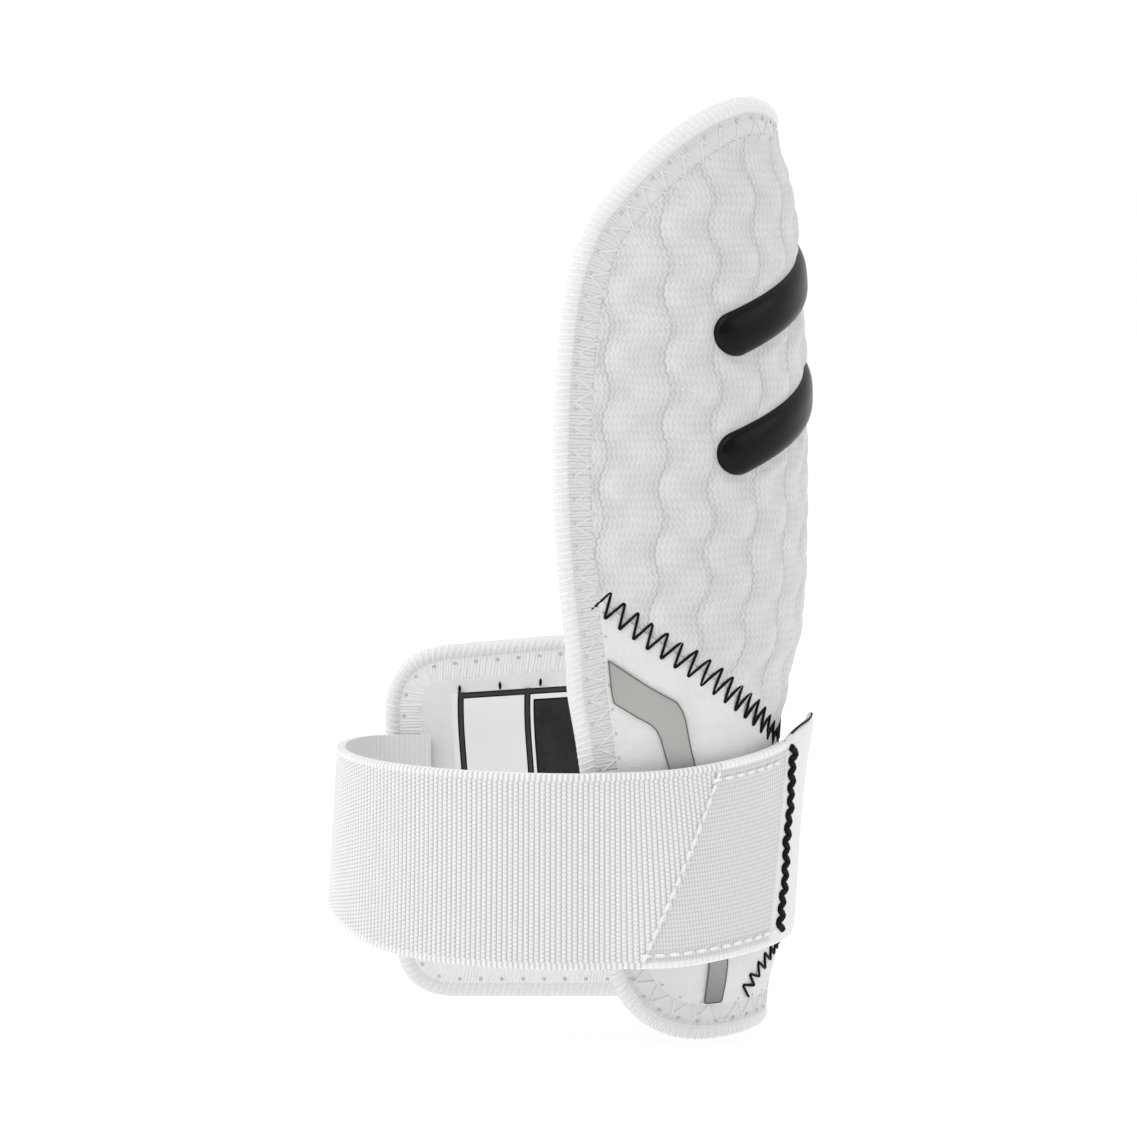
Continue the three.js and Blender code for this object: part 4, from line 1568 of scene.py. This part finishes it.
# %% The raised bars
BAR_RISE = 1.7
BAR_SINK = 0.1
BAR_STEPS = (0.5, 1.5)
CAP_POINTS = 30


def rubber_finish():
    material, tree, shader = new_finish("black_rubber", (0.003, 0.003, 0.0032), 0.3)
    shader.inputs["Specular IOR Level"].default_value = 0.16
    grain = object_place(tree).noise(900.0, 2.0)
    feed(grain * 0.12 + 0.24, shader, "Roughness")
    return material


def stadium():
    turn = np.linspace(-np.pi / 2, np.pi / 2, CAP_POINTS)
    cap = np.stack([BAR_REACH + BAR_WIDTH / 2 * np.cos(turn), BAR_WIDTH / 2 * np.sin(turn)], axis=1)
    return rotated(spaced(np.vstack([cap, -cap]), BAR_STEPS[0], closed=True), BAR_TILT)


def raised_bar(name, height):
    def top(flat):
        depth = np.clip(-from_bar(flat, height) / (BAR_WIDTH / 2), 0, 1)
        return PAD_HALF + BAR_SINK + BAR_RISE * (1 - (1 - depth) ** 3) ** 0.6

    def base(flat):
        return np.full(len(flat), PAD_HALF - BAR_SINK)

    outline = stadium() + (BAR_ALONG, height)
    piece = padded_panel("raised_bar_" + name, outline, BAR_STEPS, top, base, [rubber])
    belongs(piece, "black_rubber", "rubber_bar_" + name)


rubber = rubber_finish()
for name, height in BAR_HEIGHTS.items():
    raised_bar(name, height)

# %% [markdown]
# ## Black zigzags
# Two rows of black zigzag lie on the panels: one joins the two fabrics, and one closes the hem at the
# wrist. The looper's tree sews them too, at other sizes. The seam's row leans a little, and its first
# stitches sink into the binding.

# %% The black zigzags
SEWING_STEP = 0.4
THREAD_LIFT = 0.3
SEAM_FROM = -53.2
SEAM_TO = 44.0
SEAM_LEAN = -0.13
SEAM_SINK = 0.6
SEAM_SINK_OVER = 3.0
HEM_HALF = np.array([(-16.5, 9.0), (-14.0, 13.1), (-8.5, 17.0), (0, 19.2)])
HEM_LINE = np.vstack([HEM_HALF, HEM_HALF[-2::-1] * (-1, 1)])


def on_cloth(flat, lift, side=1, lean=0.0):
    return course_at(flat, side * (face(flat) + lift), side, lean)


seam_along = np.arange(SEAM_FROM, SEAM_TO, SEWING_STEP)
seam_line = spaced(np.stack([seam_along, seam(seam_along)], axis=1), SEWING_STEP)
sunk = SEAM_SINK * (1 - ease(seam_line[:, 0], SEAM_FROM, SEAM_FROM + SEAM_SINK_OVER))
seam_course = on_cloth(seam_line, THREAD_LIFT - sunk, lean=SEAM_LEAN)
seam_sizes = {"Pitch": 3.3, "Width": 5.2, "Thread radius": 0.29}
sew("seam_zigzag", seam_course, zigzag, seam_sizes, black_thread, "black_thread")

hem_course = on_cloth(spaced(HEM_LINE, SEWING_STEP), THREAD_LIFT)
hem_sizes = {"Pitch": 2.5, "Width": 3.6, "Thread radius": 0.27}
sew("hem_zigzag", hem_course, zigzag, hem_sizes, black_thread, "black_thread")

# %% [markdown]
# ## Black threads on the folded end
# A short thick zigzag holds the folded end. Its teeth are uneven, so its sideways vectors are made uneven
# as the looper's are. A single black thread runs along the end's upper rim. Both follow the strap's own
# coordinates: the place along the wall and the share of its width.

# %% The folded end's threads
STRAP_POINTS = 80
RIM_POINTS = 60
TAB_UNEVEN = 0.4
TAB_STITCH_TOP = (-10.0, 0.96)
TAB_STITCH_LOW = (-14.6, 0.075)
TAB_STITCH_LIFT = TAB_HALF - 0.1
RIM_FROM = -9.8
RIM_TO = 0.6
RIM_ABOVE = 0.002


def on_strap(along, share, lift):
    here = off_wall(along, share, np.full_like(along, lift))
    outward = (off_wall(along, share, np.full_like(along, lift + PROBE)) - here) / PROBE
    inward = np.cross(outward, np.gradient(here, axis=0))
    return here, inward / np.linalg.norm(inward, axis=1, keepdims=True), outward


def strap_stitches(start, end, lift):
    along, share = np.linspace(start, end, STRAP_POINTS).T
    return on_strap(along, share, lift)


here, inward, outward = strap_stitches(TAB_STITCH_TOP, TAB_STITCH_LOW, TAB_STITCH_LIFT)
tab_course = here, uneven(inward, TAB_UNEVEN), outward
tab_sizes = {"Pitch": 2.6, "Width": 2.8, "Thread radius": 0.82}
tab_stitches = sew("tab_zigzag", tab_course, zigzag, tab_sizes, black_thread, "black_thread")

rim_along = np.linspace(RIM_FROM, RIM_TO, RIM_POINTS)
rim_share = tab_share(rim_along, np.ones(RIM_POINTS)) + RIM_ABOVE
rim_sizes = {"Pitch": 2.0, "Width": 0.0, "Thread radius": 0.2}
rim_course = on_strap(rim_along, rim_share, THREAD_LIFT)
rim_thread = sew("tab_rim_thread", rim_course, zigzag, rim_sizes, black_thread, "black_thread")

# %% [markdown]
# ## Ticks on the label
# A few black stitches tack the label's upper edge to the wing. They are the grains, wide and far apart.

# %% The label's ticks
TICK_LINE = np.array([(77.3, 65.0), (60.8, 66.4)])
TICK_LIFT = 0.75
tick_sizes = {"Pitch": 8.2, "Width": 1.7, "Height": 0.5, "Length": 0.65}
tick_course = on_cloth(spaced(TICK_LINE, SEWING_STEP), TICK_LIFT, side=-1)
sew("label_ticks", tick_course, grains, tick_sizes, black_thread, "black_thread")

# %% [markdown]
# ## White stitches on the strap
# A row of white stitches slants across the strap where the hook fabric begins, and rows run back from its
# ends along both rims. They are the grains again, longer and thinner.

# %% White stitches
DASH_LIFT = STRAP_HALF + 0.2
TOP_ROW_END = (-15.5, 0.92)
LOW_ROW_END = (-16.0, 0.075)


def on_diagonal(share):
    return between(DIAGONAL_LOW, DIAGONAL_TOP, share), share


row_ends = [
    (on_diagonal(0.06), on_diagonal(0.94)),
    (on_diagonal(0.92), TOP_ROW_END),
    (on_diagonal(0.07), LOW_ROW_END),
]
rows = [strap_stitches(start, end, DASH_LIFT) for start, end in row_ends]
lines, inward, outward = zip(*rows)
dash_path = path_object("strap_stitches", lines, False, inward, outward)
dash_sizes = {"Pitch": 2.6, "Length": 2.1, "Width": 0.75, "Height": 0.6}
dashes = grow(dash_path, grains, dash_sizes, white_thread, "woven_elastic")

# %% [markdown]
# ## Floor
# The floor is a pale shooting table that glows a little from below, so shadows on it stay faint.

# %% The floor
FLOOR_REACH = 20.0
FLOOR_GLOW = 0.55
scene = bpy.context.scene
scene.view_settings.view_transform = "Standard"
floor_mesh = bpy.data.meshes.new("floor")
corners = [(x * FLOOR_REACH, y * FLOOR_REACH, 0) for x, y in ((-1, -1), (1, -1), (1, 1), (-1, 1))]
floor_mesh.from_pydata(corners, [], [(0, 1, 2, 3)])
table, _, table_shader = new_finish("pale_floor", (0.6, 0.6, 0.6), 0.9)
table_shader.inputs["Emission Color"].default_value = (1, 1, 1, 1)
table_shader.inputs["Emission Strength"].default_value = FLOOR_GLOW
floor_mesh.materials.append(table)
floor = bpy.data.objects.new("floor", floor_mesh)
scene.collection.objects.link(floor)
print("floor half width, m:", FLOOR_REACH)

# %% [markdown]
# ## Light
# The sky is white behind the guard and darker in front, as in a studio with a white backdrop. Large soft
# lights stand to the left and right, and one hangs above.

# %% Sky and lights
SKY_FRONT = 0.24
SKY_BACK = 1.02
SKY_POWER = 0.6
LIGHT_AIM = Vector((0, 0, 0.09))
LIGHT_SIZE = 1.0
LIGHTS = {
    # place in metres, power in watts
    "left": ((-1.1, -0.5, 0.6), 3.0),
    "above": ((-0.35, -0.45, 1.2), 4.6),
    "right": ((1.1, -0.4, 0.7), 2.1),
}
world = bpy.data.worlds.new("studio")
world.use_nodes = True
sky = world.node_tree.nodes["Background"]
direction = Wire(world.node_tree).node("ShaderNodeTexCoord").out("Generated")
depth = direction.node("ShaderNodeSeparateXYZ", None, {0: direction}).out("Y") * 0.5 + 0.5
feed((depth ** SKY_POWER).mix(grey(SKY_FRONT), grey(SKY_BACK)), sky, "Color")
scene.world = world


def soft_light(name, place, power):
    light = bpy.data.lights.new(name, "AREA")
    light.shape = "DISK"
    light.size = LIGHT_SIZE
    light.energy = power
    lamp = bpy.data.objects.new(name, light)
    lamp.location = place
    lamp.rotation_euler = (LIGHT_AIM - Vector(place)).to_track_quat("-Z", "Y").to_euler()
    scene.collection.objects.link(lamp)


for name, (place, power) in LIGHTS.items():
    soft_light(name, place, power)
print("lights:", ", ".join(LIGHTS))

# %% [markdown]
# ## Camera
# The camera has a long lens and looks down a little, at the photograph's angle.

# %% The camera
CAMERA_LENS = 135.0
CAMERA_SENSOR = 36.0
CAMERA_TILT = math.radians(84.0)
CAMERA_AT = (0.0, -0.84492, 0.1815)
camera = bpy.data.objects.new("camera", bpy.data.cameras.new("camera"))
camera.data.lens = CAMERA_LENS
camera.data.sensor_width = CAMERA_SENSOR
camera.location = CAMERA_AT
camera.rotation_euler = (CAMERA_TILT, 0, 0)
scene.collection.objects.link(camera)
scene.camera = camera
print("camera at, m:", CAMERA_AT)
